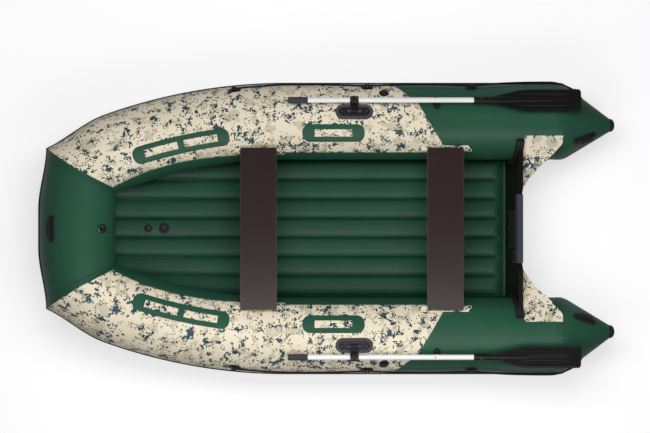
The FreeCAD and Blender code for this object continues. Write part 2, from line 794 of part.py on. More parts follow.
def oar_blade():
    """Port blade: round neck, flaring sheet, spine, side ribs and a thick end rim."""
    point, out, across = shaft_frame()
    start = point - FORE * (SHAFT_AFT - BLADE_NECK_L / 2.0)
    neck = Part.makeCylinder(BLADE_NECK_R, BLADE_NECK_L, start, AFT)
    half = BLADE_T / 2.0
    outline = [
        (BLADE_NECK_L / 2.0, -BLADE_NECK_R), (BLADE_NECK_L, -BLADE_NECK_R),
        (BLADE_FLARE_L, -BLADE_HALF), (BLADE_L, -BLADE_HALF),
        (BLADE_L, BLADE_HALF), (BLADE_FLARE_L, BLADE_HALF),
        (BLADE_NECK_L, BLADE_NECK_R), (BLADE_NECK_L / 2.0, BLADE_NECK_R),
    ]
    corners = [V(x, y, -half) for x, y in outline]
    sheet = Part.Face(Part.makePolygon(corners + corners[:1])).extrude(V(0, 0, BLADE_T))
    tips = [
        e for e in sheet.Edges
        if e.BoundBox.ZLength > half and e.CenterOfMass.x > BLADE_L - half
    ]
    sheet = sheet.makeFillet(BLADE_CORNER, tips)
    rim = Part.makeBox(
        BLADE_RIM, 2.0 * (BLADE_HALF - BLADE_CORNER), BLADE_T + 2.0 * BLADE_RIB,
        V(BLADE_L - BLADE_RIM, BLADE_CORNER - BLADE_HALF, -half - BLADE_RIB),
    )
    spine = Part.makeCone(
        BLADE_NECK_R, BLADE_SPINE / 2.0, BLADE_L - BLADE_NECK_L - BLADE_RIM * 4.0,
        V(BLADE_NECK_L, 0, 0), FORE,
    )
    ribs = []
    for y in (-BLADE_RIB_Y, BLADE_RIB_Y):
        length = BLADE_L - BLADE_FLARE_L - BLADE_RIM * 5.0
        ribs.append(Part.makeBox(
            length, BLADE_T, BLADE_T + 2.0 * BLADE_RIB,
            V(BLADE_FLARE_L, y - BLADE_T / 2.0, -half - BLADE_RIB),
        ))
    flat = sheet.multiFuse([rim, spine] + ribs)
    flat = placed(flat, start, AFT, across)
    bore = Part.makeCylinder(SHAFT_R + REST_GAP, BLADE_NECK_L / 2.0 + REST_GAP, start, AFT)
    return neck.fuse(flat).cut(bore).removeSplitter()


def oar_cradle():
    """Port cradle: a patch with two knobs that the stowed shaft lies over."""
    base = patch(CRADLE_X, OAR_ROLL, CRADLE_L, CRADLE_W, CRADLE_T, CRADLE_L / 2.0 - ROUND_END)
    point, out, across = roll_frame(CRADLE_X, OAR_ROLL, 0.0)
    knobs = []
    for side in (-CRADLE_KNOB_OFF, CRADLE_KNOB_OFF):
        foot = point + across * side - out * CRADLE_KNOB_R
        knobs.append(Part.makeCylinder(
            CRADLE_KNOB_R, CRADLE_KNOB_H + CRADLE_KNOB_R, foot, out
        ))
    return base.multiFuse(knobs).cut(straight_tube(REST_GAP)).removeSplitter()


def rope_point(x, roll):
    """Rope's middle at a place along the boat and a roll from the top."""
    cos, sin = unit(roll)
    if x < STERN_X:
        centre, radius = cone_at((STERN_X - x) / CONE_L)
        return centre + (SIDE * sin + UP * cos) * (radius + ROPE_LIFT)
    point, outboard, up = axis_at(x)
    return point + (outboard * sin + up * cos) * (TUBE_R + ROPE_LIFT)


def rope_rolls():
    """Roll of the rope at each station: level to the last but two, then down the tube."""
    level = len(ROPE_X) - 2
    drop = (ROPE_END_ROLL - ROPE_ROLL) / (ROPE_X[-1] - ROPE_X[level - 1])
    rolls = [ROPE_ROLL] * level
    rolls += [ROPE_ROLL + drop * (x - ROPE_X[level - 1]) for x in ROPE_X[level:]]
    return rolls


def rope_points():
    """Points of the port rope, sagging down the tube between its holders."""
    points = []
    rolls = rope_rolls()
    for i, steps in enumerate(ROPE_STEPS):
        for k in range(steps):
            share = k / steps
            x = ROPE_X[i] + (ROPE_X[i + 1] - ROPE_X[i]) * share
            roll = rolls[i] + (rolls[i + 1] - rolls[i]) * share
            points.append(rope_point(x, roll + ROPE_SAG * 4.0 * share * (1.0 - share)))
    return points + [rope_point(ROPE_X[-1], rolls[-1])]


def round_path(points):
    """Wire of straight runs joined by arcs as large as the runs allow."""
    edges = []
    last = points[0]
    for before, corner, after in zip(points, points[1:], points[2:]):
        back = (before - corner).normalize()
        ahead = (after - corner).normalize()
        turn = math.pi - back.getAngle(ahead)
        run = ARC_SHARE * min((corner - before).Length, (after - corner).Length)
        inward = (back + ahead).normalize()
        radius = run / math.tan(turn / 2.0)
        start = corner + back * run
        end = corner + ahead * run
        middle = corner + inward * (radius / math.cos(turn / 2.0) - radius)
        edges.append(Part.makeLine(last, start))
        edges.append(Part.Arc(start, middle, end).toShape())
        last = end
    edges.append(Part.makeLine(last, points[-1]))
    return Part.Wire(edges)


def lifeline(radius=ROPE_R):
    """Port lifeline."""
    points = rope_points()
    path = round_path(points)
    circle = Part.Circle(points[0], points[1] - points[0], radius)
    section = Part.Wire(circle.toShape())
    rope = path.makePipeShell([section], True, True)
    ideal = math.pi * radius * radius * path.Length
    print("lifeline volume over section times length", round(rope.Volume / ideal, 4))
    return rope


def rope_holder(index, rope):
    """Port holder: an oval patch and an eye, open for the rope."""
    points = rope_points()
    place = sum(ROPE_STEPS[:index])
    point = points[place]
    ahead = points[min(place + 1, len(points) - 1)] - points[max(place - 1, 0)]
    ahead.normalize()
    x = ROPE_X[index]
    cos, sin = unit(rope_rolls()[index])
    if x < STERN_X:
        out = SIDE * sin + UP * cos
        skin = stern_cone(REST_GAP)
    else:
        centre, outboard, up = axis_at(x)
        out = outboard * sin + up * cos
        skin = side_tube(REST_GAP)
    eye = Part.makeCylinder(EYE_R, EYE_L, point - ahead * (EYE_L / 2.0), ahead)
    across = out.cross(ahead).normalize()
    seat = across.cross(ahead) * -1.0
    base = stadium(HOLDER_L, HOLDER_H, HOLDER_BASE * 4.0, HOLDER_H / 2.0 - ROUND_END)
    base = placed(base, point - seat * (ROPE_LIFT + HOLDER_BASE * 2.0), ahead, across)
    return base.fuse(eye).cut(skin).cut(rope).removeSplitter()


def bent_slot(start, end, half, low, high):
    """Upright block that follows the bend in plan between two angles."""
    radius = BEND_R - FRAME_OFFSET
    centre = V(BEND_X, TUBE_Y - BEND_R, low)
    spokes = []
    for angle in (start, (start + end) / 2.0, end):
        cos, sin = unit(angle)
        spokes.append(V(sin, cos, 0))
    outer = [centre + spoke * (radius + half) for spoke in spokes]
    inner = [centre + spoke * (radius - half) for spoke in spokes]
    wire = Part.Wire([
        Part.Arc(outer[0], outer[1], outer[2]).toShape(),
        Part.makeLine(outer[2], inner[2]),
        Part.Arc(inner[2], inner[1], inner[0]).toShape(),
        Part.makeLine(inner[0], outer[0]),
    ])
    return Part.Face(wire).extrude(V(0, 0, high - low))


def fore_frame():
    """Port fore frame: a long rounded sheet with two windows."""
    low = TUBE_Z
    high = BOW_Z + 2.0 * TUBE_R
    blank = bent_slot(FORE_FRAME_FROM, FORE_FRAME_TO, FRAME_HALF, low, high)
    upright = [e for e in blank.Edges if e.BoundBox.ZLength > TUBE_R / 2.0]
    blank = blank.makeFillet(FRAME_CORNER, upright)
    middle = (FORE_FRAME_FROM + FORE_FRAME_TO) / 2.0
    turn = 180.0 / math.pi / (BEND_R - FRAME_OFFSET)
    near = FORE_WINDOW_GAP / 2.0 * turn
    far = near + FORE_WINDOW_L * turn
    for start, end in ((middle - far, middle - near), (middle + near, middle + far)):
        blank = blank.cut(bent_slot(start, end, FRAME_WINDOW_HALF, low - 1.0, high + 1.0))
    return blank.common(bent_tube(REST_GAP + FRAME_T)).cut(bent_tube(REST_GAP))


def mid_frame():
    """Port middle frame: a rounded sheet with one window."""
    blank = stadium(MID_FRAME_L, 2.0 * FRAME_HALF, TUBE_R * 2.0, FRAME_CORNER)
    window = stadium(MID_WINDOW_L, 2.0 * FRAME_WINDOW_HALF, TUBE_R * 2.0, WINDOW_CORNER)
    blank = blank.cut(window)
    blank.translate(V(MID_FRAME_X, TUBE_Y - FRAME_OFFSET, TUBE_Z))
    shell = straight_tube(REST_GAP + FRAME_T).cut(straight_tube(REST_GAP))
    return shell.common(blank)


def handle():
    """Carry handle about its own middle: a base, two legs and a bar, along X."""
    base = stadium(HANDLE_L, HANDLE_W, HANDLE_BASE, HANDLE_W / 2.0 - ROUND_END)
    length = HANDLE_L - 2.0 * HANDLE_END
    arch = Part.makeBox(
        length, HANDLE_GRIP_W, HANDLE_RISE, V(-length / 2.0, -HANDLE_GRIP_W / 2.0, 0)
    )
    shoulders = [
        e for e in arch.Edges
        if e.BoundBox.YLength > HANDLE_GRIP_W / 2.0 and e.CenterOfMass.z > HANDLE_RISE / 2.0
    ]
    arch = arch.makeFillet(HANDLE_SHOULDER, shoulders)
    gap_l = length - 2.0 * HANDLE_LEG
    gap_h = HANDLE_RISE - HANDLE_BAR - HANDLE_BASE
    gap = Part.makeBox(
        gap_l, HANDLE_GRIP_W, gap_h, V(-gap_l / 2.0, -HANDLE_GRIP_W / 2.0, HANDLE_BASE)
    )
    return base.fuse(arch.cut(gap)).removeSplitter()


def cone_handle():
    """Port handle along the cone's inner upper side."""
    here, radius = cone_at(CONE_HANDLE_AT)
    after, after_radius = cone_at(1.0)
    cos, sin = unit(CONE_HANDLE_ROLL)
    radial = V(0, -sin, cos)
    foot = here + radial * radius
    along = (after + radial * after_radius - foot).normalize()
    across = radial.cross(along).normalize()
    out = along.cross(across)
    grip = placed(handle(), foot - out * HANDLE_BED, along, across)
    return grip.cut(stern_cone(REST_GAP))


def bow_handle():
    """Handle across the top of the bow tube."""
    cos, sin = unit(BOW_HANDLE_ROLL)
    out = V(sin, 0, cos)
    foot = V(BOW_X, 0, BOW_Z) + out * (TUBE_R - HANDLE_BED)
    return placed(handle(), foot, SIDE, out.cross(SIDE)).cut(bow_tube(REST_GAP))


def valve(radius):
    """Valve: a flange and a screw cap, upright about its own axis."""
    cap_r = radius * VALVE_CAP_R / VALVE_R
    top = VALVE_FLANGE + VALVE_CAP_H
    profile = [
        (0, 0), (0, radius), (VALVE_FLANGE, radius), (VALVE_FLANGE, cap_r),
        (top - VALVE_EDGE, cap_r), (top, cap_r - VALVE_EDGE), (top, 0),
    ]
    return turned(profile, ORIGIN, UP, FORE)


def side_valve():
    """Port chamber valve, on the tube's outer upper side."""
    point, out, across = roll_frame(SIDE_VALVE_X, SIDE_VALVE_ROLL, REST_GAP)
    return placed(valve(VALVE_R), point, FORE, out.cross(FORE))


def floor_valves():
    """Two valves on the middle rib near the bow."""
    solids = []
    for aft, radius in ((FLOOR_VALVE_AFT, FLOOR_VALVE_R), (FLOOR_DRAIN_AFT, FLOOR_DRAIN_R)):
        x = BOW_X - aft
        lift, slope = floor_lift(x)
        out = V(-slope, 0, 1).normalize()
        along = V(1, 0, slope).normalize()
        foot = V(x, 0, FLOOR_TOP_Z + RIB_CREST + lift) + out * REST_GAP
        solids.append(placed(valve(radius), foot, along, SIDE))
    return Part.makeCompound(solids)


def bow_ring():
    """Towing ring on a round patch, on the inner side of the bow tube's top."""
    cos, sin = unit(BOW_RING_ROLL)
    out = V(-sin, 0, cos)
    foot = V(BOW_X, 0, BOW_Z) + out * (TUBE_R + REST_GAP)
    disc = Part.makeCylinder(BOW_RING_R, RING_BASE_T, foot, out)
    lug_start = foot + out * RING_FOOT - SIDE * (BOW_RING_R / 2.0)
    lug = Part.makeCylinder(RING_FOOT, BOW_RING_R, lug_start, SIDE)
    middle = foot + out * RING_FOOT + SIDE.cross(out) * RING_MID_R
    section = []
    for i in range(RING_SIDES):
        cos, sin = unit(360.0 * i / RING_SIDES)
        section.append((RING_BAR / 2.0 * sin, RING_MID_R + RING_BAR / 2.0 * cos))
    ring = turned(section, middle, out, SIDE)
    return disc.multiFuse([lug, ring]).removeSplitter()


def save(name, shape):
    """Write one node."""
    shape.exportStep(f"parts/{name}.step")


def save_pair(name, shape):
    """Write a port node and its mirror image."""
    save(f"{name}_port", shape)
    save(f"{name}_starboard", mirrored(shape))


def save_hull():
    """Write the tubes, floor, strakes and tapes."""
    tube = side_tube()
    save_pair("side_tube", tube)
    save("bow_tube", bow_tube())
    save_pair("stern_cone", stern_cone())
    save_pair("cone_cap", cone_cap())
    save_pair("strake", strake_side())
    save("strake_bow", strake_bow())
    save_pair("skid_tape", skid())
    loose = both(side_tube(FLOOR_GAP)) + [bow_tube(FLOOR_GAP)]
    save("floor_mat", floor_mat(loose))
    wide = side_tube(REST_GAP)
    save("keel_tape", keel_strip())
    for name, x in (("fore", FORE_SEAT_X), ("aft", AFT_SEAT_X)):
        save(f"seat_rails_{name}", Part.makeCompound(both(seat_rail(x, wide))))


def save_transom():
    """Write the transom's pieces."""
    save("transom_board", transom_board())
    save_pair("transom_holder", transom_holder())
    save("transom_cap", transom_cap())
    save("motor_plate", motor_plate())
    save("clamp_pad", clamp_pad())
    save_pair("transom_knee", knee())


def save_oars():
    """Write the oarlocks and oars."""
    save_pair("oarlock_base", oarlock_base())
    save_pair("hinge_pin", hinge_pin())
    save_pair("oarlock_arm", oarlock_arm())
    save_pair("oar_collar", oar_collar())
    save_pair("oar_shaft", oar_shaft())
    save_pair("oar_grip", oar_grip())
    save_pair("oar_blade", oar_blade())
    save_pair("oar_cradle", oar_cradle())


def save_fittings():
    """Write the seats, lifelines, frames, handles and valves."""
    for name, x in (("fore", FORE_SEAT_X), ("aft", AFT_SEAT_X)):
        save(f"seat_{name}", seat_plank(x))
        save(f"seat_cleats_{name}", Part.makeCompound(both(seat_cleat(x))))
    save_pair("lifeline", lifeline())
    loose = lifeline(ROPE_R + REST_GAP)
    holders = [rope_holder(i, loose) for i in ROPE_HELD]
    save_pair("lifeline_holders", Part.makeCompound(holders))
    save_pair("fabric_frames", Part.makeCompound([fore_frame(), mid_frame()]))
    save_pair("cone_handle", cone_handle())
    save("bow_handle", bow_handle())
    save_pair("side_valve", side_valve())
    save("floor_valves", floor_valves())
    save("bow_ring", bow_ring())


os.makedirs("parts", exist_ok=True)
save_hull()
save_transom()
save_oars()
save_fittings()
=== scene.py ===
"""Looks of an inflatable rowing boat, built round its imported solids. Metres, bow along +X, port along +Y."""

from __future__ import annotations

import logging
import math
from dataclasses import dataclass
from enum import Enum

import bpy
import numpy as np
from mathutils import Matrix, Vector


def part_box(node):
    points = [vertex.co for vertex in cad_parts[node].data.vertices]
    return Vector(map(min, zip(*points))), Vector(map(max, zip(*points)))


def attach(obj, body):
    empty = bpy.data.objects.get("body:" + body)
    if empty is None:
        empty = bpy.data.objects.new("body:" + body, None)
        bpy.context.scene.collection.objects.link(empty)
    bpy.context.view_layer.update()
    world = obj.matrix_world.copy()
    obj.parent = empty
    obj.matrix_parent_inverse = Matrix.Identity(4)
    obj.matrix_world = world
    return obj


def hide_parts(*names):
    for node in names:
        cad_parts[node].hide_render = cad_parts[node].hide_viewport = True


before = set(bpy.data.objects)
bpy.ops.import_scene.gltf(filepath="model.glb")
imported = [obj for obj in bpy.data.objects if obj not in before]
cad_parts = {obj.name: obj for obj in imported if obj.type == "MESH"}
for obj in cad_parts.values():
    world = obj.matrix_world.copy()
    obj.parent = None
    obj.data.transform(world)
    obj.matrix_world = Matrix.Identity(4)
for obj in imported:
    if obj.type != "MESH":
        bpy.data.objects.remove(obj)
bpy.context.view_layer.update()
LOG = logging.getLogger("boat")
Array = np.ndarray


class Side(Enum):
    """The two sides of the boat, with the sign of their Y."""

    PORT = 1
    STARBOARD = -1

    @property
    def tag(self) -> str:
        """Ending of this side's piece names."""
        return self.name.lower()


class Body(Enum):
    """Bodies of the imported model."""

    HULL = "hull"
    FORE_SEAT = "fore_seat"
    AFT_SEAT = "aft_seat"

    @staticmethod
    def oar(side: Side) -> str:
        """Name of a side's oar body."""
        return f"oar_{side.tag}"


class Slot(Enum):
    """Material slots of the record."""

    GREEN = "pvc_green"
    CAMO = "pvc_camo"
    MOULDED = "moulded_black"
    STRAKE = "strake_black"
    TAPE = "tape_black"
    ROPE = "rope_black"
    PLYWOOD = "plywood"
    GREY = "plastic_grey"
    ALUMINIUM = "aluminium"
    STEEL = "steel"


def smooth_step(low: float, high: float, value: Array) -> Array:
    """Share from 0 to 1 that eases in and out as value goes from low to high.

    Args:
        low: Value at which the share is 0.
        high: Value at which the share is 1.
        value: Values to ease.

    Returns:
        3 t squared less 2 t cubed, with t the clipped linear share.
    """
    t = np.clip((value - low) / (high - low), 0.0, 1.0)
    return t * t * (3.0 - 2.0 * t)


def bell(value: Array, half: float) -> Array:
    """Bell curve of a value: e to the power of minus the square of its ratio to half."""
    return np.exp(-(value / half) ** 2)


def signed_power(value: Array, power: float) -> Array:
    """Power of a value's size, with the value's own sign."""
    return np.sign(value) * np.abs(value) ** power


def stacked(*parts: Array | float) -> Array:
    """Coordinates brought to one shape and stacked on a last axis."""
    return np.stack(np.broadcast_arrays(*parts), -1)


def unit(vector: Array) -> Array:
    """Directions of vectors on the last axis."""
    return vector / np.linalg.norm(vector, axis=-1, keepdims=True)


def linear(hex_colour: str) -> tuple[float, float, float, float]:
    """Linear RGBA of an sRGB colour.

    Args:
        hex_colour: Six hexadecimal digits.

    Returns:
        Red, green, blue and an alpha of 1.
    """
    parts = [int(hex_colour[i:i + 2], 16) / 255.0 for i in (0, 2, 4)]
    bent = [c / 12.92 if c <= 0.04045 else ((c + 0.055) / 1.055) ** 2.4 for c in parts]
    return (bent[0], bent[1], bent[2], 1.0)


@dataclass(frozen=True)
class HullLine:
    """Skin of the air tubes as functions of a run along the tube and a roll from its top.

    Roll is positive outboard. Run is the distance in plan from the stern seam to the bow mitre.
    """

    tube_r: float = 0.210
    tube_y: float = 0.595
    axis_z: float = 0.2133
    stern_x: float = -1.290
    bend_x: float = 0.230
    bend_r: float = 2.692
    turn: float = math.radians(25.4)
    bow_rise: float = 0.140
    last_share: float = 0.8
    mitre_out: float = 0.198
    bow_flat: float = 0.110
    bow_even: float = 0.3
    cone_l: float = 0.284
    cone_tip_r: float = 0.034
    cone_shoulder: float = 0.055
    cone_tip_in: float = 0.020
    cone_tip_up: float = 0.030

    @property
    def bow_x(self) -> float:
        """X of the bow tube's axis."""
        return self.bend_x + self.bend_r * math.sin(self.turn)

    @property
    def mitre_turn(self) -> float:
        """Angle of the mitre plane's long axis from +X."""
        return (math.pi / 2.0 - self.turn) / 2.0

    @property
    def straight(self) -> float:
        """Run of the straight part."""
        return self.bend_x - self.stern_x

    @property
    def length(self) -> float:
        """Run of the whole side tube."""
        return self.straight + self.bend_r * self.turn

    def run_at(self, x: Array | float) -> Array:
        """Run at a place along the boat.

        Args:
            x: X on the axis.

        Returns:
            Straight distance up to the bend, then the bend's arc length.
        """
        x = np.asarray(x, float)
        sine = np.clip((x - self.bend_x) / self.bend_r, 0.0, 1.0)
        return np.where(x < self.bend_x, x - self.stern_x, self.straight + self.bend_r * np.arcsin(sine))

    def rise(self, x: Array) -> Array:
        """Height gained at a place along the boat.

        Args:
            x: X on the axis.

        Returns:
            The bow's rise times the square of the share of the way through the bend.
        """
        share = np.clip((x - self.bend_x) / (self.bow_x - self.bend_x), 0.0, None)
        return self.bow_rise * share * share

    def slope(self, x: Array) -> Array:
        """Slope of the axis' height, the derivative of its rise.

        Args:
            x: X on the axis.

        Returns:
            Twice the rise times the share of the way through the bend, over the bend's length.
        """
        span = self.bow_x - self.bend_x
        return 2.0 * self.bow_rise * np.clip((x - self.bend_x) / span, 0.0, None) / span

    def axis(self, angle: Array) -> tuple[Array, Array, Array, Array]:
        """Axis frame at an angle of the bend.

        Args:
            angle: Turned angle in radians, 0 at the start of the bend.

        Returns:
            Point, outboard, up and forward directions, each with a last axis of 3.
        """
        x = self.bend_x + self.bend_r * np.sin(angle)
        y = self.tube_y - self.bend_r * (1.0 - np.cos(angle))
        ahead = unit(stacked(np.cos(angle), -np.sin(angle), self.slope(x) * np.cos(angle)))
        out = stacked(np.sin(angle), np.cos(angle), 0.0)
        return stacked(x, y, self.axis_z + self.rise(x)), out, np.cross(ahead, out), ahead

    def mitre(self, roll: Array, lift: Array | float = 0.0) -> Array:
        """Points of the oval in the mitre plane, fuller inboard than outboard.

        Args:
            roll: Roll from the top.
            lift: Distance off the skin.

        Returns:
            Ellipse points, with its middle moved inboard along the plane.
        """
        inner = self.tube_r / math.cos(self.mitre_turn)
        half = (inner + self.mitre_out) / 2.0 + lift
        along = (self.mitre_out - inner) / 2.0 + half * np.sin(roll)
        point = self.axis(np.asarray(self.turn))[0]
        ex = np.array([math.cos(self.mitre_turn), math.sin(self.mitre_turn), 0.0])
        high = (self.tube_r + lift) * np.cos(roll)
        return point + along[..., None] * ex + high[..., None] * np.array([0.0, 0.0, 1.0])

    def side(self, run: Array, roll: Array, lift: Array | float = 0.0) -> Array:
        """Points of the port side tube's skin.

        Args:
            run: Distance from the stern seam.
            roll: Roll from the top.
            lift: Distance off the skin.

        Returns:
            Circle points about the axis, and past the last station a cubic Hermite blend from the
            last circle to the mitre oval along the axis' own directions.
        """
        run, roll = np.broadcast_arrays(np.asarray(run, float), np.asarray(roll, float))
        lift = np.broadcast_to(np.asarray(lift, float), run.shape)
        angle = np.clip((run - self.straight) / self.bend_r, 0.0, self.turn)
        last = self.last_share * self.turn
        point, out, up, ahead = self.axis(np.minimum(angle, last))
        back = np.minimum(run - self.straight, 0.0)
        point = point + back[..., None] * np.array([1.0, 0.0, 0.0])
        radius = (self.tube_r + lift)[..., None]
        ring = point + radius * (out * np.sin(roll)[..., None] + up * np.cos(roll)[..., None])
        w = np.clip((angle - last) / (self.turn - last), 0.0, 1.0)[..., None]
        end = self.mitre(roll, lift)
        reach = np.linalg.norm(end - ring, axis=-1, keepdims=True)
        leave = self.axis(np.asarray(self.turn))[3]
        bent = hermite(ring, end, ahead * reach, leave * reach, w)
        return np.where(w > 0.0, bent, ring)

    def bow(self, share: Array, roll: Array, lift: Array | float = 0.0) -> Array:
        """Points of the bow tube's skin.

        Args:
            share: From -1 at the starboard mitre to 1 at the port one.
            roll: Roll from the top, positive forward.
            lift: Distance off the skin.

        Returns:
            Circle points on the straight middle, blended to the mitre ovals at both ends.
        """
        share, roll = np.broadcast_arrays(np.asarray(share, float), np.asarray(roll, float))
        lift = np.broadcast_to(np.asarray(lift, float), share.shape)
        port = self.mitre(roll, lift)
        w = np.clip((np.abs(share) - self.bow_even) / (1.0 - self.bow_even), 0.0, 1.0)[..., None]
        y = self.bow_flat * np.clip(share / self.bow_even, -1.0, 1.0)
        radius = self.tube_r + lift
        high = self.axis_z + self.bow_rise + radius * np.cos(roll)
        ring = stacked(self.bow_x + radius * np.sin(roll), np.abs(y), high)
        reach = np.abs(port[..., 1:2] - ring[..., 1:2])
        level = np.array([0.0, 1.0, 0.0])
        bent = hermite(ring, port, level * reach, level * reach, w)
        points = np.where(w > 0.0, bent, ring)
        points[..., 1] *= np.where(share < 0.0, -1.0, 1.0)
        return points

    def cone_line(self, share: Array) -> tuple[Array, Array]:
        """Middle and radius of the stern cone.

        Args:
            share: Share of its length from the seam.

        Returns:
            Points, and a radius that rounds off over the shoulder and then falls evenly.
        """
        share = np.asarray(share, float)
        knee = self.cone_shoulder / self.cone_l
        even = np.clip(share - knee / 2.0, 0.0, None) / (1.0 - knee / 2.0)
        eased = share * share / (2.0 * knee) / (1.0 - knee / 2.0)
        fall = np.where(share < knee, eased, even)
        middle = stacked(
            self.stern_x - self.cone_l * share,
            self.tube_y - self.cone_tip_in * fall,
            self.axis_z + self.cone_tip_up * fall,
        )
        return middle, self.tube_r + (self.cone_tip_r - self.tube_r) * fall

    def cone(self, share: Array, roll: Array, lift: Array | float = 0.0) -> Array:
        """Points of the port stern cone's skin.

        Args:
            share: Share of its length from the seam.
            roll: Roll from the top.
            lift: Distance off the skin.

        Returns:
            Upright circle points about the cone's middle.
        """
        share, roll = np.broadcast_arrays(np.asarray(share, float), np.asarray(roll, float))
        middle, radius = self.cone_line(share)
        radius = radius + lift
        return middle + stacked(0.0, radius * np.sin(roll), radius * np.cos(roll))

    def skin(self, run: Array, roll: Array, lift: Array | float = 0.0) -> Array:
        """Points of cone and side tube as one skin.

        Args:
            run: Distance from the stern seam, negative on the cone.
            roll: Roll from the top.
            lift: Distance off the skin.

        Returns:
            Points of the cone where run is negative, and of the side tube elsewhere.
        """
        run, roll = np.broadcast_arrays(np.asarray(run, float), np.asarray(roll, float))
        share = np.clip(-run, 0.0, None) / self.cone_l
        tube = self.side(np.clip(run, 0.0, None), roll, lift)
        return np.where(run[..., None] < 0.0, self.cone(share, roll, lift), tube)


def hermite(start: Array, end: Array, leave: Array, arrive: Array, w: Array) -> Array:
    """Cubic from start to end with given end slopes.

    Args:
        start: First points.
        end: Last points.
        leave: Slope at the start.
        arrive: Slope at the end.
        w: Share of the way.

    Returns:
        The four Hermite weights applied to the two points and the two slopes.
    """
    w2, w3 = w * w, w * w * w
    return (
        start * (2.0 * w3 - 3.0 * w2 + 1.0) + leave * (w3 - 2.0 * w2 + w)
        + end * (3.0 * w2 - 2.0 * w3) + arrive * (w3 - w2)
    )


HULL = HullLine()


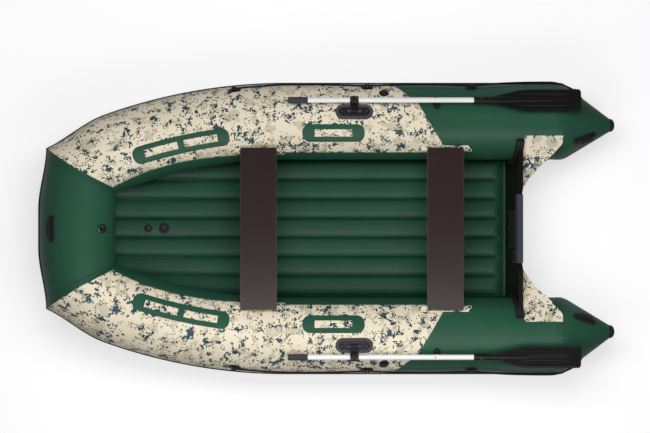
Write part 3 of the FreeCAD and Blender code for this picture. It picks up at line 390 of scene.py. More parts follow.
class Surface:
    """Makes Blender meshes out of grids of points."""

    @staticmethod
    def quads(rows: int, columns: int, wrap: bool) -> Array:
        """Corner indices of a grid's faces.

        Args:
            rows: Rows of points.
            columns: Points in a row.
            wrap: Whether the last column joins the first.

        Returns:
            Four indices for each face.
        """
        i = np.arange(rows - 1)[:, None]
        j = np.arange(columns if wrap else columns - 1)[None, :]
        k = (j + 1) % columns
        near, far = i * columns, (i + 1) * columns
        return np.stack([near + j, near + k, far + k, far + j], -1).reshape(-1, 4)

    @staticmethod
    def outward(points: Array, faces: list[list[int]]) -> list[list[int]]:
        """Faces of a closed mesh, all turned outwards.

        Args:
            points: Vertex positions.
            faces: Vertex indices of each face, all turned the same way.

        Returns:
            The faces, reversed if the volume they enclose comes out negative.
        """
        middled = points - points.mean(0)
        volume = 0.0
        for size in {len(f) for f in faces}:
            same = np.array([f for f in faces if len(f) == size])
            for k in range(1, size - 1):
                first, second, third = (middled[same[:, n]] for n in (0, k, k + 1))
                volume += float(np.einsum("ij,ij->", first, np.cross(second, third)))
        return [f[::-1] for f in faces] if volume < 0.0 else faces

    @staticmethod
    def add(name: str, points: Array, faces: list[list[int]], uv: Array | None = None,
            smooth: bool = True) -> bpy.types.Object:
        """Object at the origin from points and faces.

        Args:
            name: Object name.
            points: Vertex positions.
            faces: Vertex indices of each face.
            uv: One UV pair a vertex, in metres on the cloth.
            smooth: Whether the faces shade smoothly.

        Returns:
            The new object, linked to the scene.
        """
        mesh = bpy.data.meshes.new(name)
        mesh.from_pydata(points.tolist(), [], faces)
        if uv is not None:
            layer = mesh.uv_layers.new(name="cloth")
            index = np.zeros(len(mesh.loops), np.int32)
            mesh.loops.foreach_get("vertex_index", index)
            layer.data.foreach_set("uv", uv[index].astype(np.float32).ravel())
        mesh.polygons.foreach_set("use_smooth", np.full(len(mesh.polygons), smooth))
        mesh.update()
        thing = bpy.data.objects.new(name, mesh)
        bpy.context.scene.collection.objects.link(thing)
        return thing

    @classmethod
    def tube(cls, name: str, grid: Array, uv: Array | None = None, smooth: bool = True) -> bpy.types.Object:
        """Closed tube from rings of points, with a cap on each end ring.

        Args:
            name: Object name.
            grid: Rings, each of the same number of points.
            uv: One UV pair a point.
            smooth: Whether the faces shade smoothly.

        Returns:
            The new object.
        """
        rows, columns = grid.shape[:2]
        faces = cls.quads(rows, columns, True).tolist()
        faces.append(list(range(columns))[::-1])
        faces.append(list(range((rows - 1) * columns, rows * columns)))
        points = grid.reshape(-1, 3)
        flat = None if uv is None else uv.reshape(-1, 2)
        return cls.add(name, points, cls.outward(points, faces), flat, smooth)

    @classmethod
    def ring(cls, name: str, local: Local, along: Array, radius: Array, count: int) -> bpy.types.Object:
        """Closed section turned round a fitting's along direction.

        Args:
            name: Object name.
            local: Frame at its middle.
            along: Distances along of the section's points.
            radius: Distances from the axis of the section's points.
            count: Points round it.

        Returns:
            The new object.
        """
        turn = np.linspace(0.0, 2.0 * np.pi, count + 1)[None, :-1]
        grid = local.at(along[:, None], radius[:, None] * np.cos(turn), radius[:, None] * np.sin(turn))
        return cls.loop(name, grid)

    @classmethod
    def loop(cls, name: str, grid: Array) -> bpy.types.Object:
        """Closed ring from a grid whose rows and columns both come round to their start.

        Args:
            name: Object name.
            grid: Grid of points.

        Returns:
            The new object.
        """
        rows, columns = grid.shape[:2]
        faces = cls.quads(rows + 1, columns, True) % (rows * columns)
        points = grid.reshape(-1, 3)
        return cls.add(name, points, cls.outward(points, faces.tolist()))

    @classmethod
    def slab(cls, name: str, top: Array, bottom: Array, side: Side = Side.PORT, uv: Array | None = None,
             keep: Array | None = None) -> bpy.types.Object:
        """Closed sheet between two grids, with walls round its rim and round each hole.

        Args:
            name: Object name.
            top: Grid of points of one face, made for port.
            bottom: Grid of the same shape for the other face.
            side: Side of the boat.
            uv: One UV pair a grid point.
            keep: For each cell of the grid, whether it is there.

        Returns:
            The new object.
        """
        top, bottom = mirrored(top, side), mirrored(bottom, side)
        rows, columns = top.shape[:2]
        count = rows * columns
        cells = np.ones((rows - 1, columns - 1), bool) if keep is None else keep
        upper = cls.quads(rows, columns, False)[cells.ravel()]
        lower = upper[:, ::-1] + count
        ring = np.pad(cells, 1)
        walls = []
        here = ring[1:-1, 1:-1]
        i, j = np.indices(cells.shape)
        corner = i * columns + j
        for bare, a, b in (
            (ring[:-2, 1:-1], corner, corner + 1),
            (ring[2:, 1:-1], corner + columns + 1, corner + columns),
            (ring[1:-1, :-2], corner + columns, corner),
            (ring[1:-1, 2:], corner + 1, corner + columns + 1),
        ):
            open_edge = here & ~bare
            p, q = a[open_edge], b[open_edge]
            walls.append(np.stack([q, p, p + count, q + count], -1))
        faces = np.concatenate([upper, lower, *walls])
        points = np.concatenate([top.reshape(-1, 3), bottom.reshape(-1, 3)])
        used, packed = np.unique(faces, return_inverse=True)
        faces = packed.reshape(-1, 4).tolist()
        points = points[used]
        flat = None if uv is None else np.concatenate([uv.reshape(-1, 2)] * 2)[used]
        return cls.add(name, points, cls.outward(points, faces), flat)


def mirrored(grid: Array, side: Side) -> Array:
    """Grid made for port, on a side of the boat.

    Args:
        grid: Points on the port side.
        side: Side wanted.

    Returns:
        The points, with Y negated for starboard.
    """
    return grid * np.array([1.0, side.value, 1.0])


def circle(count: int) -> Array:
    """Rolls of a ring, from the bottom round by the outboard side.

    Args:
        count: Points in the ring.

    Returns:
        Evenly spaced angles.
    """
    return np.pi + 2.0 * np.pi * np.arange(count) / count


class Nodes:
    """Short ways to build a shader's nodes."""

    def __init__(self, tree: bpy.types.NodeTree) -> None:
        """Keeps the tree that nodes are added to."""
        self.tree = tree

    def add(self, kind: str, values: dict[str, object] | None = None, **settings: object) -> bpy.types.Node:
        """New node with settings and input values.

        Args:
            kind: Node type name.
            values: Input values by socket name or number; a socket is linked, anything else is set.
            settings: Node properties.

        Returns:
            The new node.
        """
        node = self.tree.nodes.new(kind)
        for key, value in settings.items():
            setattr(node, key, value)
        for key, value in (values or {}).items():
            if isinstance(value, bpy.types.NodeSocket):
                self.tree.links.new(value, node.inputs[key])
            else:
                node.inputs[key].default_value = value
        return node

    def math(self, operation: str, a: object, b: object = 0.0) -> bpy.types.NodeSocket:
        """Output of a Math node on two values or sockets."""
        return self.add("ShaderNodeMath", {0: a, 1: b}, operation=operation).outputs[0]

    def mix(self, share: object, a: object, b: object) -> bpy.types.NodeSocket:
        """Colour that goes from a to b with a share."""
        node = self.add("ShaderNodeMix", data_type="RGBA")
        for socket, value in ((node.inputs[0], share), (node.inputs[6], a), (node.inputs[7], b)):
            if isinstance(value, bpy.types.NodeSocket):
                self.tree.links.new(value, socket)
            else:
                socket.default_value = value
        return node.outputs[2]

    def ramp(self, value: object, low: float, high: float) -> bpy.types.NodeSocket:
        """Value stretched from low..high to 0..1 and clipped."""
        node = self.add("ShaderNodeMapRange", {0: value, 1: low, 2: high, 3: 0.0, 4: 1.0})
        return node.outputs[0]

    def noise(self, place: object, scale: object, detail: float = 2.0,
              rough: float = 0.5) -> bpy.types.NodeSocket:
        """Smooth noise value at a place."""
        values = {"Vector": place, "Scale": scale, "Detail": detail, "Roughness": rough}
        return self.add("ShaderNodeTexNoise", values).outputs["Fac"]


def new_group(name: str, inputs: dict[str, float],
              *outputs: str) -> tuple[bpy.types.NodeTree, Nodes, bpy.types.Node]:
    """Empty shader node group.

    Args:
        name: Group name.
        inputs: Float inputs and their values.
        outputs: Names of its float outputs.

    Returns:
        The group, its node builder and its input node.
    """
    group = bpy.data.node_groups.new(name, "ShaderNodeTree")
    group.interface.new_socket("Vector", in_out="INPUT", socket_type="NodeSocketVector")
    for key, value in inputs.items():
        socket = group.interface.new_socket(key, in_out="INPUT", socket_type="NodeSocketFloat")
        socket.default_value = value
    for key in outputs:
        group.interface.new_socket(key, in_out="OUTPUT", socket_type="NodeSocketFloat")
    return group, Nodes(group), group.nodes.new("NodeGroupInput")


def close_group(group: bpy.types.NodeTree, **values: bpy.types.NodeSocket) -> bpy.types.NodeTree:
    """Links a group's outputs, and gives the group back."""
    end = group.nodes.new("NodeGroupOutput")
    for key, value in values.items():
        group.links.new(value, end.inputs[key])
    return group


def fabric_grain_group() -> bpy.types.NodeTree:
    """Group for coated cloth: a fine weave under the coat, slow unevenness and dull handling marks.

    Returns:
        The group, with outputs Height, Tone and Dulling.
    """
    inputs = {"Weave": 900.0, "Patch": 5.0}
    group, build, start = new_group("coated_cloth", inputs, "Height", "Tone", "Dulling")
    place = start.outputs["Vector"]
    waves = []
    for axis in ("X", "Y"):
        wave = build.add(
            "ShaderNodeTexWave", {"Vector": place, "Scale": start.outputs["Weave"], "Distortion": 0.6},
            wave_type="BANDS", bands_direction=axis,
        )
        waves.append(wave.outputs["Fac"])
    weave = build.math("MULTIPLY", waves[0], waves[1])
    pebble = build.noise(place, 1400.0, 1.0)
    slow = build.noise(place, start.outputs["Patch"], 3.0, 0.55)
    marks = build.noise(place, 38.0, 5.0, 0.62)
    height = build.math("ADD", build.math("MULTIPLY", weave, 0.5), build.math("MULTIPLY", pebble, 0.5))
    tone, dulling = build.ramp(slow, 0.3, 0.7), build.ramp(marks, 0.52, 0.78)
    return close_group(group, Height=height, Tone=tone, Dulling=dulling)


def moulded_grain_group() -> bpy.types.NodeTree:
    """Group for moulded plastic and rubber: a fine stipple and faint rubbing marks.

    Returns:
        The group, with outputs Height, Tone and Dulling.
    """
    inputs = {"Stipple": 1100.0, "Patch": 16.0}
    group, build, start = new_group("moulded_stipple", inputs, "Height", "Tone", "Dulling")
    place = start.outputs["Vector"]
    stipple = build.noise(place, start.outputs["Stipple"], 2.0, 0.7)
    slow = build.noise(place, start.outputs["Patch"], 3.0)
    rubbed = build.noise(place, 85.0, 6.0, 0.68)
    tone, dulling = build.ramp(slow, 0.3, 0.7), build.ramp(rubbed, 0.5, 0.75)
    return close_group(group, Height=stipple, Tone=tone, Dulling=dulling)


def pixel_camo_group() -> bpy.types.NodeTree:
    """Group for a common pixel camouflage: small square cells gathered in ragged clusters.

    Returns:
        The group, with outputs Blotch, Teal and Black, each a mask.
    """
    group, build, start = new_group("pixel_clusters", {"Cell": 0.0062}, "Blotch", "Teal", "Black")
    cell = build.add("ShaderNodeCombineXYZ", {i: start.outputs["Cell"] for i in range(3)})
    snapped = build.add(
        "ShaderNodeVectorMath", {0: start.outputs["Vector"], 1: cell.outputs[0]}, operation="SNAP",
    ).outputs[0]
    patch = build.noise(snapped, 9.0, 2.0, 0.5)
    cluster = build.noise(snapped, 23.0, 3.0, 0.72)
    speck = build.noise(snapped, 60.0, 2.0, 0.8)
    white = build.add("ShaderNodeTexWhiteNoise", {"Vector": snapped}, noise_dimensions="3D")
    jitter = white.outputs["Value"]
    ragged = build.math("ADD", cluster, build.math("MULTIPLY", build.math("SUBTRACT", jitter, 0.5), 0.09))
    drive = build.math("ADD", ragged, build.math("MULTIPLY", build.math("SUBTRACT", patch, 0.5), 0.35))
    teal = build.math("GREATER_THAN", drive, 0.578)
    edge = build.math("GREATER_THAN", drive, 0.55)
    black = build.math("MULTIPLY", edge, build.math("GREATER_THAN", speck, 0.575))
    rare, near = build.math("GREATER_THAN", jitter, 0.93), build.math("GREATER_THAN", drive, 0.5)
    stray = build.math("MULTIPLY", rare, near)
    outer = build.math("SUBTRACT", black, build.math("GREATER_THAN", drive, 0.62))
    blotch = build.math("GREATER_THAN", build.noise(snapped, 14.0, 3.0, 0.6), 0.55)
    shown = build.math("MAXIMUM", build.math("MAXIMUM", outer, stray), 0.0)
    return close_group(group, Blotch=blotch, Teal=teal, Black=shown)


CLOTH_GROUP = fabric_grain_group()
STIPPLE_GROUP = moulded_grain_group()
CAMO_GROUP = pixel_camo_group()
GRAIN_DEPTH = 0.0006


@dataclass(frozen=True)
class Finish:
    """A finish with a plain base, a grain and marks of use."""

    name: str
    slot: Slot
    colour: str
    shade: str
    roughness: float
    dull_roughness: float
    bump: float = 0.2
    metallic: float = 0.0
    cloth: bool = False
    patch: float = 5.0
    gloss: float = 0.32

    def material(self) -> bpy.types.Material:
        """Material of this finish.

        Returns:
            A Principled material whose colour and roughness vary with the grain group's masks.
        """
        made = bpy.data.materials.get(self.name)
        if made is not None:
            return made
        made = bpy.data.materials.new(self.name)
        made.use_nodes = True
        made.node_tree.nodes.clear()
        build = Nodes(made.node_tree)
        place = build.add("ShaderNodeTexCoord").outputs["Object"]
        group = CLOTH_GROUP if self.cloth else STIPPLE_GROUP
        grain = build.add("ShaderNodeGroup", node_tree=group)
        made.node_tree.links.new(place, grain.inputs["Vector"])
        grain.inputs["Patch"].default_value = self.patch
        colour = self.base(build, build.mix(grain.outputs["Tone"], linear(self.colour), linear(self.shade)))
        dulled = build.math("MULTIPLY", grain.outputs["Dulling"], self.dull_roughness - self.roughness)
        bump = build.add("ShaderNodeBump", {
            "Height": grain.outputs["Height"], "Strength": self.bump, "Distance": GRAIN_DEPTH,
        })
        shader = build.add("ShaderNodeBsdfPrincipled", {
            "Base Color": colour, "Roughness": build.math("ADD", dulled, self.roughness),
            "Metallic": self.metallic, "Specular IOR Level": self.gloss, "Normal": bump.outputs[0],
        })
        build.add("ShaderNodeOutputMaterial", {0: shader.outputs[0]})
        return made

    def base(self, build: Nodes, colour: bpy.types.NodeSocket) -> bpy.types.NodeSocket:
        """Colour before the shader; a richer finish changes it."""
        return colour


@dataclass(frozen=True)
class CamoFinish(Finish):
    """Cream coated cloth printed with pixel clusters, on the piece's own UV."""

    blotch: str = "cdc5ad"
    teal: str = "36535f"
    black: str = "182023"

    def base(self, build: Nodes, colour: bpy.types.NodeSocket) -> bpy.types.NodeSocket:
        """Print laid over the cream.

        Args:
            build: Node builder.
            colour: Cream base.

        Returns:
            Cream with blotches, teal clusters and black specks.
        """
        cloth = build.add("ShaderNodeUVMap", uv_map="cloth").outputs[0]
        camo = build.add("ShaderNodeGroup", {"Vector": cloth}, node_tree=CAMO_GROUP)
        for mask, shade in (("Blotch", self.blotch), ("Teal", self.teal), ("Black", self.black)):
            colour = build.mix(camo.outputs[mask], colour, linear(shade))
        return colour


GREEN = Finish("coated_cloth_green", Slot.GREEN, "2a5743", "244f3c", 0.38, 0.5, 0.12, cloth=True, patch=3.0)
FLOOR_GREEN = Finish(
    "coated_cloth_floor", Slot.GREEN, "264d3c", "1f4435", 0.4, 0.55, 0.12, cloth=True, patch=3.0,
)
CAMO = CamoFinish("coated_cloth_camo", Slot.CAMO, "eee3cc", "e6dac0", 0.42, 0.55, 0.12, cloth=True)
MOULDED = Finish("moulded_fittings", Slot.MOULDED, "1f1e21", "28272a", 0.42, 0.6, 0.3)
BLADE_BLACK = Finish("blade_plastic", Slot.MOULDED, "121214", "19191b", 0.34, 0.5, 0.25)
GRIP_BLACK = Finish("grip_rubber", Slot.MOULDED, "434146", "38363b", 0.55, 0.7, 0.4)
STRAKE = Finish("strake_rubber", Slot.STRAKE, "17181a", "1f2022", 0.32, 0.5, 0.2)
TAPE = Finish("armour_tape", Slot.TAPE, "1c1d1e", "262728", 0.6, 0.75, 0.6)
ROPE = Finish("braided_cord", Slot.ROPE, "151515", "212121", 0.7, 0.85, 0.5)
SEAM_GREEN = Finish(
    "coated_cloth_seam", Slot.GREEN, "27523f", "214a39", 0.36, 0.5, 0.12, cloth=True, patch=3.0,
)
PLY_EDGE = Finish("bare_ply_edge", Slot.PLYWOOD, "b9a88c", "8f7c62", 0.6, 0.75, 0.3)
LOCK_GREY = Finish("oarlock_grey", Slot.MOULDED, "4e4f53", "444549", 0.45, 0.6, 0.3)
VALVE_GREY = Finish("valve_grey", Slot.MOULDED, "4a4c4f", "3d3f42", 0.45, 0.6, 0.3)
PLYWOOD = Finish("film_faced_ply", Slot.PLYWOOD, "291615", "241211", 0.30, 0.38, 0.12, gloss=1.0)
TRANSOM_PLY = Finish("transom_ply", Slot.PLYWOOD, "180d0b", "120a09", 0.4, 0.55, 0.12, gloss=0.25)
GREY = Finish("transom_plastic", Slot.GREY, "404348", "393c41", 0.45, 0.6, 0.3)
ALUMINIUM = Finish(
    "satin_aluminium", Slot.ALUMINIUM, "ffffff", "f8f8fa", 0.32, 0.42, 0.1, metallic=0.15, gloss=0.6,
)
STEEL = Finish("turned_steel", Slot.STEEL, "b5b6b9", "a8a9ad", 0.3, 0.45, 0.1, metallic=1.0)


def dress(thing: bpy.types.Object, finish: Finish, *nodes: str, body: str = Body.HULL.value) -> None:
    """Gives a new piece its finish, its body and the nodes it stands for.

    Args:
        thing: Piece.
        finish: Its finish.
        nodes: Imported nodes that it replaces.
        body: Body that it rides on.
    """
    thing.data.materials.append(finish.material())
    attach(thing, body)
    if nodes:
        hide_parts(*nodes)
    LOG.info("%s rides on %s", thing.name, body)


@dataclass
class AirTubes:
    """Side tubes, bow tube and stern cones, with their seam tapes."""

    rows: int = 150
    around: int = 96
    pucker: float = 0.0005
    pucker_reach: float = 0.045
    tape_w: float = 0.042
    tape_t: float = 0.0009
    bed: float = 0.001
    mitre_share: float = 0.13
    bow_half: float = 0.4

    def puckers(self, roll: Array, from_seam: Array) -> Array:
        """Small folds that run away from a welded seam.

        Args:
            roll: Roll from the top.
            from_seam: Distance from the seam.

        Returns:
            Three sines of the roll with uneven counts, fading with the distance.
        """
        folds = np.sin(23.0 * roll + 0.7) + 0.6 * np.sin(37.0 * roll + 2.1) + 0.5 * np.sin(61.0 * roll)
        return self.pucker * folds * np.exp(-from_seam / self.pucker_reach)

    def side_tube(self, side: Side) -> None:
        """Builds one side tube.

        Args:
            side: Side of the boat.
        """
        share = np.linspace(0.0, 1.0, self.rows)[:, None]
        run = HULL.length * (share - 0.012 * np.sin(2.0 * np.pi * share))
        roll = circle(self.around)[None, :]
        lift = self.puckers(roll, run) + self.puckers(roll + 0.4, HULL.length - run)
        grid = mirrored(HULL.side(run, roll, lift), side)
        name = f"side_tube_skin_{side.tag}"
        dress(Surface.tube(name, grid), GREEN, f"side_tube_{side.tag}")

    def bow_tube(self) -> None:
        """Builds the bow tube."""
        share = np.linspace(-1.0, 1.0, 90)[:, None]
        roll = circle(self.around)[None, :]
        lift = self.puckers(roll, (1.0 - np.abs(share)) * self.bow_half)
        dress(Surface.tube("bow_tube_skin", HULL.bow(share, roll, lift)), GREEN, "bow_tube")

    def cone(self, side: Side) -> None:
        """Builds one stern cone.

        Args:
            side: Side of the boat.
        """
        share = np.linspace(0.0, 1.0, 60)[:, None] ** 1.3
        roll = circle(self.around)[None, :]
        lift = self.puckers(roll, share * HULL.cone_l)
        grid = mirrored(HULL.cone(share, roll, lift), side)
        name = f"stern_cone_skin_{side.tag}"
        dress(Surface.tube(name, grid), GREEN, f"stern_cone_{side.tag}")

    def tapes(self, side: Side) -> None:
        """Builds the seam tapes of one side, at the cone and at the mitre.

        Args:
            side: Side of the boat.
        """
        roll = circle(self.around)[None, :]
        edge = np.array([0.0, 0.04, 0.12, 0.5, 0.88, 0.96, 1.0])[:, None]
        thick = self.tape_t * np.array([0.3, 0.9, 1.0, 1.0, 1.0, 0.9, 0.3])[:, None]
        run = (edge - 0.5) * self.tape_w
        share = 1.0 - edge * self.mitre_share
        for name, shape, along in (("cone_tape", HULL.skin, run), ("mitre_tape", HULL.bow, share)):
            outer = shape(along, roll, thick + self.pucker)
            inner = shape(along, roll, -self.bed)
            ring = np.concatenate([outer, inner[::-1]])
            piece = Surface.loop(f"{name}_{side.tag}", mirrored(ring, side))
            dress(piece, SEAM_GREEN)

    def build(self) -> None:
        """Builds every tube and tape."""
        for side in Side:
            self.side_tube(side)
            self.cone(side)
            self.tapes(side)
        self.bow_tube()


@dataclass
class CamoPanels:
    """Printed panels welded over the side tubes."""

    lift: float = 0.0025
    edge_lift: float = 0.0005
    lift_from: float = math.radians(14.0)
    lift_to: float = math.radians(20.0)
    fore_back: float = 0.036
    outer_roll: float = math.radians(88.0)
    bed: float = 0.001
    edge_x: tuple[float, ...] = (-1.29, 0.33, 0.49, 0.757, 0.913, 1.07, 1.19, 1.385)
    edge_roll: tuple[float, ...] = (-55.5, -55.5, -57.0, -51.5, -49.5, -50.5, -54.0, -60.0)
    aft_y: tuple[float, ...] = (0.42, 0.47, 0.69, 0.765, 0.80)
    aft_x: tuple[float, ...] = (-0.655, -0.635, -0.503, -0.410, -0.360)

    def inner_roll(self, run: Array) -> Array:
        """Roll of the panel's inboard edge.

        Args:
            run: Distance from the stern seam.

        Returns:
            Straight lines between the measured places.
        """
        runs = HULL.run_at(np.array(self.edge_x))
        return np.radians(np.interp(run, runs, self.edge_roll))

    def panel(self, side: Side) -> None:
        """Builds the long panel of one side, cut off aft along a broken line.

        Args:
            side: Side of the boat.
        """
        across = np.linspace(0.0, 1.0, 60)[None, :]
        along = np.linspace(0.0, 1.0, 180)[:, None]
        first = math.radians(self.edge_roll[0])
        aft_roll = first + (self.outer_roll - first) * across
        aft = np.interp(HULL.tube_y + HULL.tube_r * np.sin(aft_roll), self.aft_y, self.aft_x)
        start = HULL.run_at(aft)
        back = self.fore_back * np.clip(1.0 - across / 0.4, 0.0, 1.0) ** 1.3
        run = start + (HULL.length - back - start) * along
        inner = self.inner_roll(run)
        roll = inner + (self.outer_roll - inner) * across
        proud = smooth_step(self.lift_from, self.lift_to, roll - inner)
        top = HULL.side(run, roll, self.edge_lift + (self.lift - self.edge_lift) * proud)
        bottom = HULL.side(run, roll, -self.bed)
        uv = np.stack([run + 7.0 * (side.value < 0), roll * HULL.tube_r], -1)
        piece = Surface.slab(f"camo_panel_{side.tag}", top, bottom, side, uv)
        dress(piece, CAMO)

    def build(self) -> None:
        """Builds both panels."""
        for side in Side:
            self.panel(side)


@dataclass
class FloorMat:
    """Inflated floor of seven ribs that stops against the tubes."""

    pitch: float = 0.108
    ribs: int = 7
    crest: float = 0.024
    groove: float = 0.012
    groove_share: float = 0.07
    side_drop: float = 0.016
    aft_drop: float = 0.024
    top_z: float = 0.092
    low_z: float = 0.034
    aft_x: float = -1.0037
    fore_x: float = 1.255

    def half_width(self, x: Array) -> Array:
        """Half width of the floor where it meets the tubes.

        Args:
            x: X along the boat.

        Returns:
            Distance of the tube's axis less the half chord of its section at the floor's height.
        """
        angle = np.arcsin(np.clip((x - HULL.bend_x) / HULL.bend_r, 0.0, 1.0))
        axis_y = HULL.tube_y - HULL.bend_r * (1.0 - np.cos(angle))
        deep = HULL.axis_z - self.top_z
        chord = math.sqrt(HULL.tube_r ** 2 - deep ** 2)
        return axis_y - chord / np.cos(angle) + 0.004

    def height(self, x: Array, y: Array) -> Array:
        """Height of the floor's top.

        Args:
            x: X along the boat.
            y: Y across it.

        Returns:
            Valley height plus a rounded rib, deepened by a narrow groove in each valley and faded
            out in a rounded end at the transom, less a drop past the outer ribs and at the transom.
        """
        phase = (y + self.pitch * self.ribs / 2.0) / self.pitch
        inside = (phase > 0.0) & (phase < self.ribs)
        part = 2.0 * (phase - np.floor(phase)) - 1.0
        end = np.sqrt(1.0 - np.clip((self.aft_x + 0.090 - x) / 0.050, 0.0, 1.0) ** 2)
        beyond = np.clip((np.abs(y) - self.pitch * self.ribs / 2.0) / 0.012, 0.0, 1.0)
        behind = np.clip((self.aft_x + 0.036 - x) / 0.020, 0.0, 1.0)
        fall = self.side_drop * beyond + self.aft_drop * behind
        bulge = np.clip(1.0 - np.abs(part) ** 2.0, 0.0, 1.0) ** 0.62
        groove = bell(1.0 - np.abs(part), self.groove_share)
        rib = np.where(inside, self.crest * bulge * end - self.groove * groove * end, 0.0)
        return self.top_z + HULL.rise(x) + rib - fall

    def build(self) -> None:
        """Builds the floor."""
        x = np.concatenate([
            np.linspace(self.aft_x, self.aft_x + 0.16, 34)[:-1],
            np.linspace(self.aft_x + 0.16, self.fore_x, 60),
        ])[:, None]
        fine = np.linspace(-1.0, 1.0, 301)[None, :]
        half = self.half_width(x)
        y = fine * half
        top = stacked(x, y, self.height(x, y))
        low = stacked(x, y * 0.999, self.low_z + HULL.rise(x))
        uv = stacked(x, y)
        piece = Surface.slab("floor_ribs", top, low, uv=uv)
        dress(piece, FLOOR_GREEN, "floor_mat")


@dataclass(frozen=True)
class Local:
    """Place and directions of a fitting: along, across and out of what carries it."""

    origin: tuple[float, float, float]
    along: tuple[float, float, float]
    out: tuple[float, float, float]

    @property
    def across(self) -> Array:
        """Direction square to along and out."""
        return np.cross(self.out, self.along)

    def at(self, along: Array | float, across: Array | float, out: Array | float) -> Array:
        """Points at local distances.

        Args:
            along: Distance along.
            across: Distance across.
            out: Distance outwards.

        Returns:
            Origin plus each distance times its direction.
        """
        a, b, c = np.broadcast_arrays(*(np.asarray(v, float) for v in (along, across, out)))
        return (
            np.array(self.origin) + a[..., None] * np.array(self.along)
            + b[..., None] * self.across + c[..., None] * np.array(self.out)
        )

    def turned(self, along: float, across: float = 0.0, out: float = 0.0) -> Local:
        """Same directions from another point."""
        return Local(tuple(self.at(along, across, out)), self.along, self.out)


def on_tube(x: float, roll: float, lift: float = 0.0) -> Local:
    """Frame on the port tube, its along pointing forward.

    Args:
        x: X on the axis.
        roll: Roll from the top.
        lift: Distance off the skin.

    Returns:
        Frame whose out is the skin's normal.
    """
    angle = math.asin(max(0.0, (x - HULL.bend_x) / HULL.bend_r))
    point, side, up, ahead = HULL.axis(np.asarray(angle))
    point = point + np.array([min(x - HULL.bend_x, 0.0), 0.0, 0.0])
    out = side * math.sin(roll) + up * math.cos(roll)
    return Local(tuple(point + out * (HULL.tube_r + lift)), tuple(ahead), tuple(out))


def sweep(path: Array, section: Array, up: tuple[float, float, float]) -> Array:
    """Rings of a section carried along a path.

    Args:
        path: Points of the path.
        section: Pairs of distances across and up, the same for all points or one set a point.
        up: Direction that the section's second axis leans to.

    Returns:
        At each point, the section in the plane square to the path's tangent.
    """
    tangent = unit(np.gradient(path, axis=0))
    side = unit(np.cross(np.array(up), tangent))
    high = np.cross(tangent, side)
    return path[:, None] + section[..., :1] * side[:, None] + section[..., 1:] * high[:, None]


def oval(wide: float, high: float, count: int = 20, square: float = 2.0) -> Array:
    """Section between an ellipse and a rounded rectangle.

    Args:
        wide: Whole width.
        high: Whole height.
        count: Points.
        square: Power of the superellipse, 2 for an ellipse.

    Returns:
        Points of the superellipse, from signed powers of cosine and sine.
    """
    turn = 2.0 * np.pi * (np.arange(count) + 0.5) / count
    across, up = (signed_power(wave, 2.0 / square) for wave in (np.cos(turn), np.sin(turn)))
    return np.stack([wide / 2.0 * across, high / 2.0 * up], -1)


def revolved(name: str, local: Local, profile: list[tuple[float, float]], count: int = 40,
             lobes: int = 0, depth: float = 0.0, axis: str = "out") -> bpy.types.Object:
    """Solid of revolution in a fitting's frame.

    Args:
        name: Piece name.
        local: Frame at the foot of the axis.
        profile: Pairs of height and radius.
        count: Points round it.
        lobes: Number of grip ribs round it.
        depth: Depth of the ribs' valleys.
        axis: Whether it turns about the frame's out or along.

    Returns:
        The piece; its radius is the profile's, less the depth times a cosine of the turn.
    """
    height, radius = (np.array(v)[:, None] for v in zip(*profile))
    turn = 2.0 * np.pi * np.arange(count)[None, :] / count
    widest = radius / max(radius.max(), 1e-6)
    radius = radius - depth * widest ** 4 * 0.5 * (1.0 + np.cos(lobes * turn)) * (lobes > 0)
    first, second = radius * np.cos(turn), radius * np.sin(turn)
    grid = local.at(first, second, height) if axis == "out" else local.at(height, first, second)
    return Surface.tube(name, grid)


def domed(height: float, radius: float, edge: float, base: float = 0.0) -> list[tuple[float, float]]:
    """Profile of a low button with a rounded edge.

    Args:
        height: Height at its middle.
        radius: Radius.
        edge: Radius of the rounded edge.
        base: Height where it starts.

    Returns:
        Pairs of height and radius, round a quarter circle and in to the middle.
    """
    turn = np.linspace(0.0, np.pi / 2.0, 6)
    rim = [(height - edge + edge * math.sin(t), radius - edge + edge * math.cos(t)) for t in turn]
    crown = [(height + 0.04 * radius * (1.0 - s * s), (radius - edge) * s) for s in (0.66, 0.33, 0.02)]
    return [(base, radius), *rim, *crown]


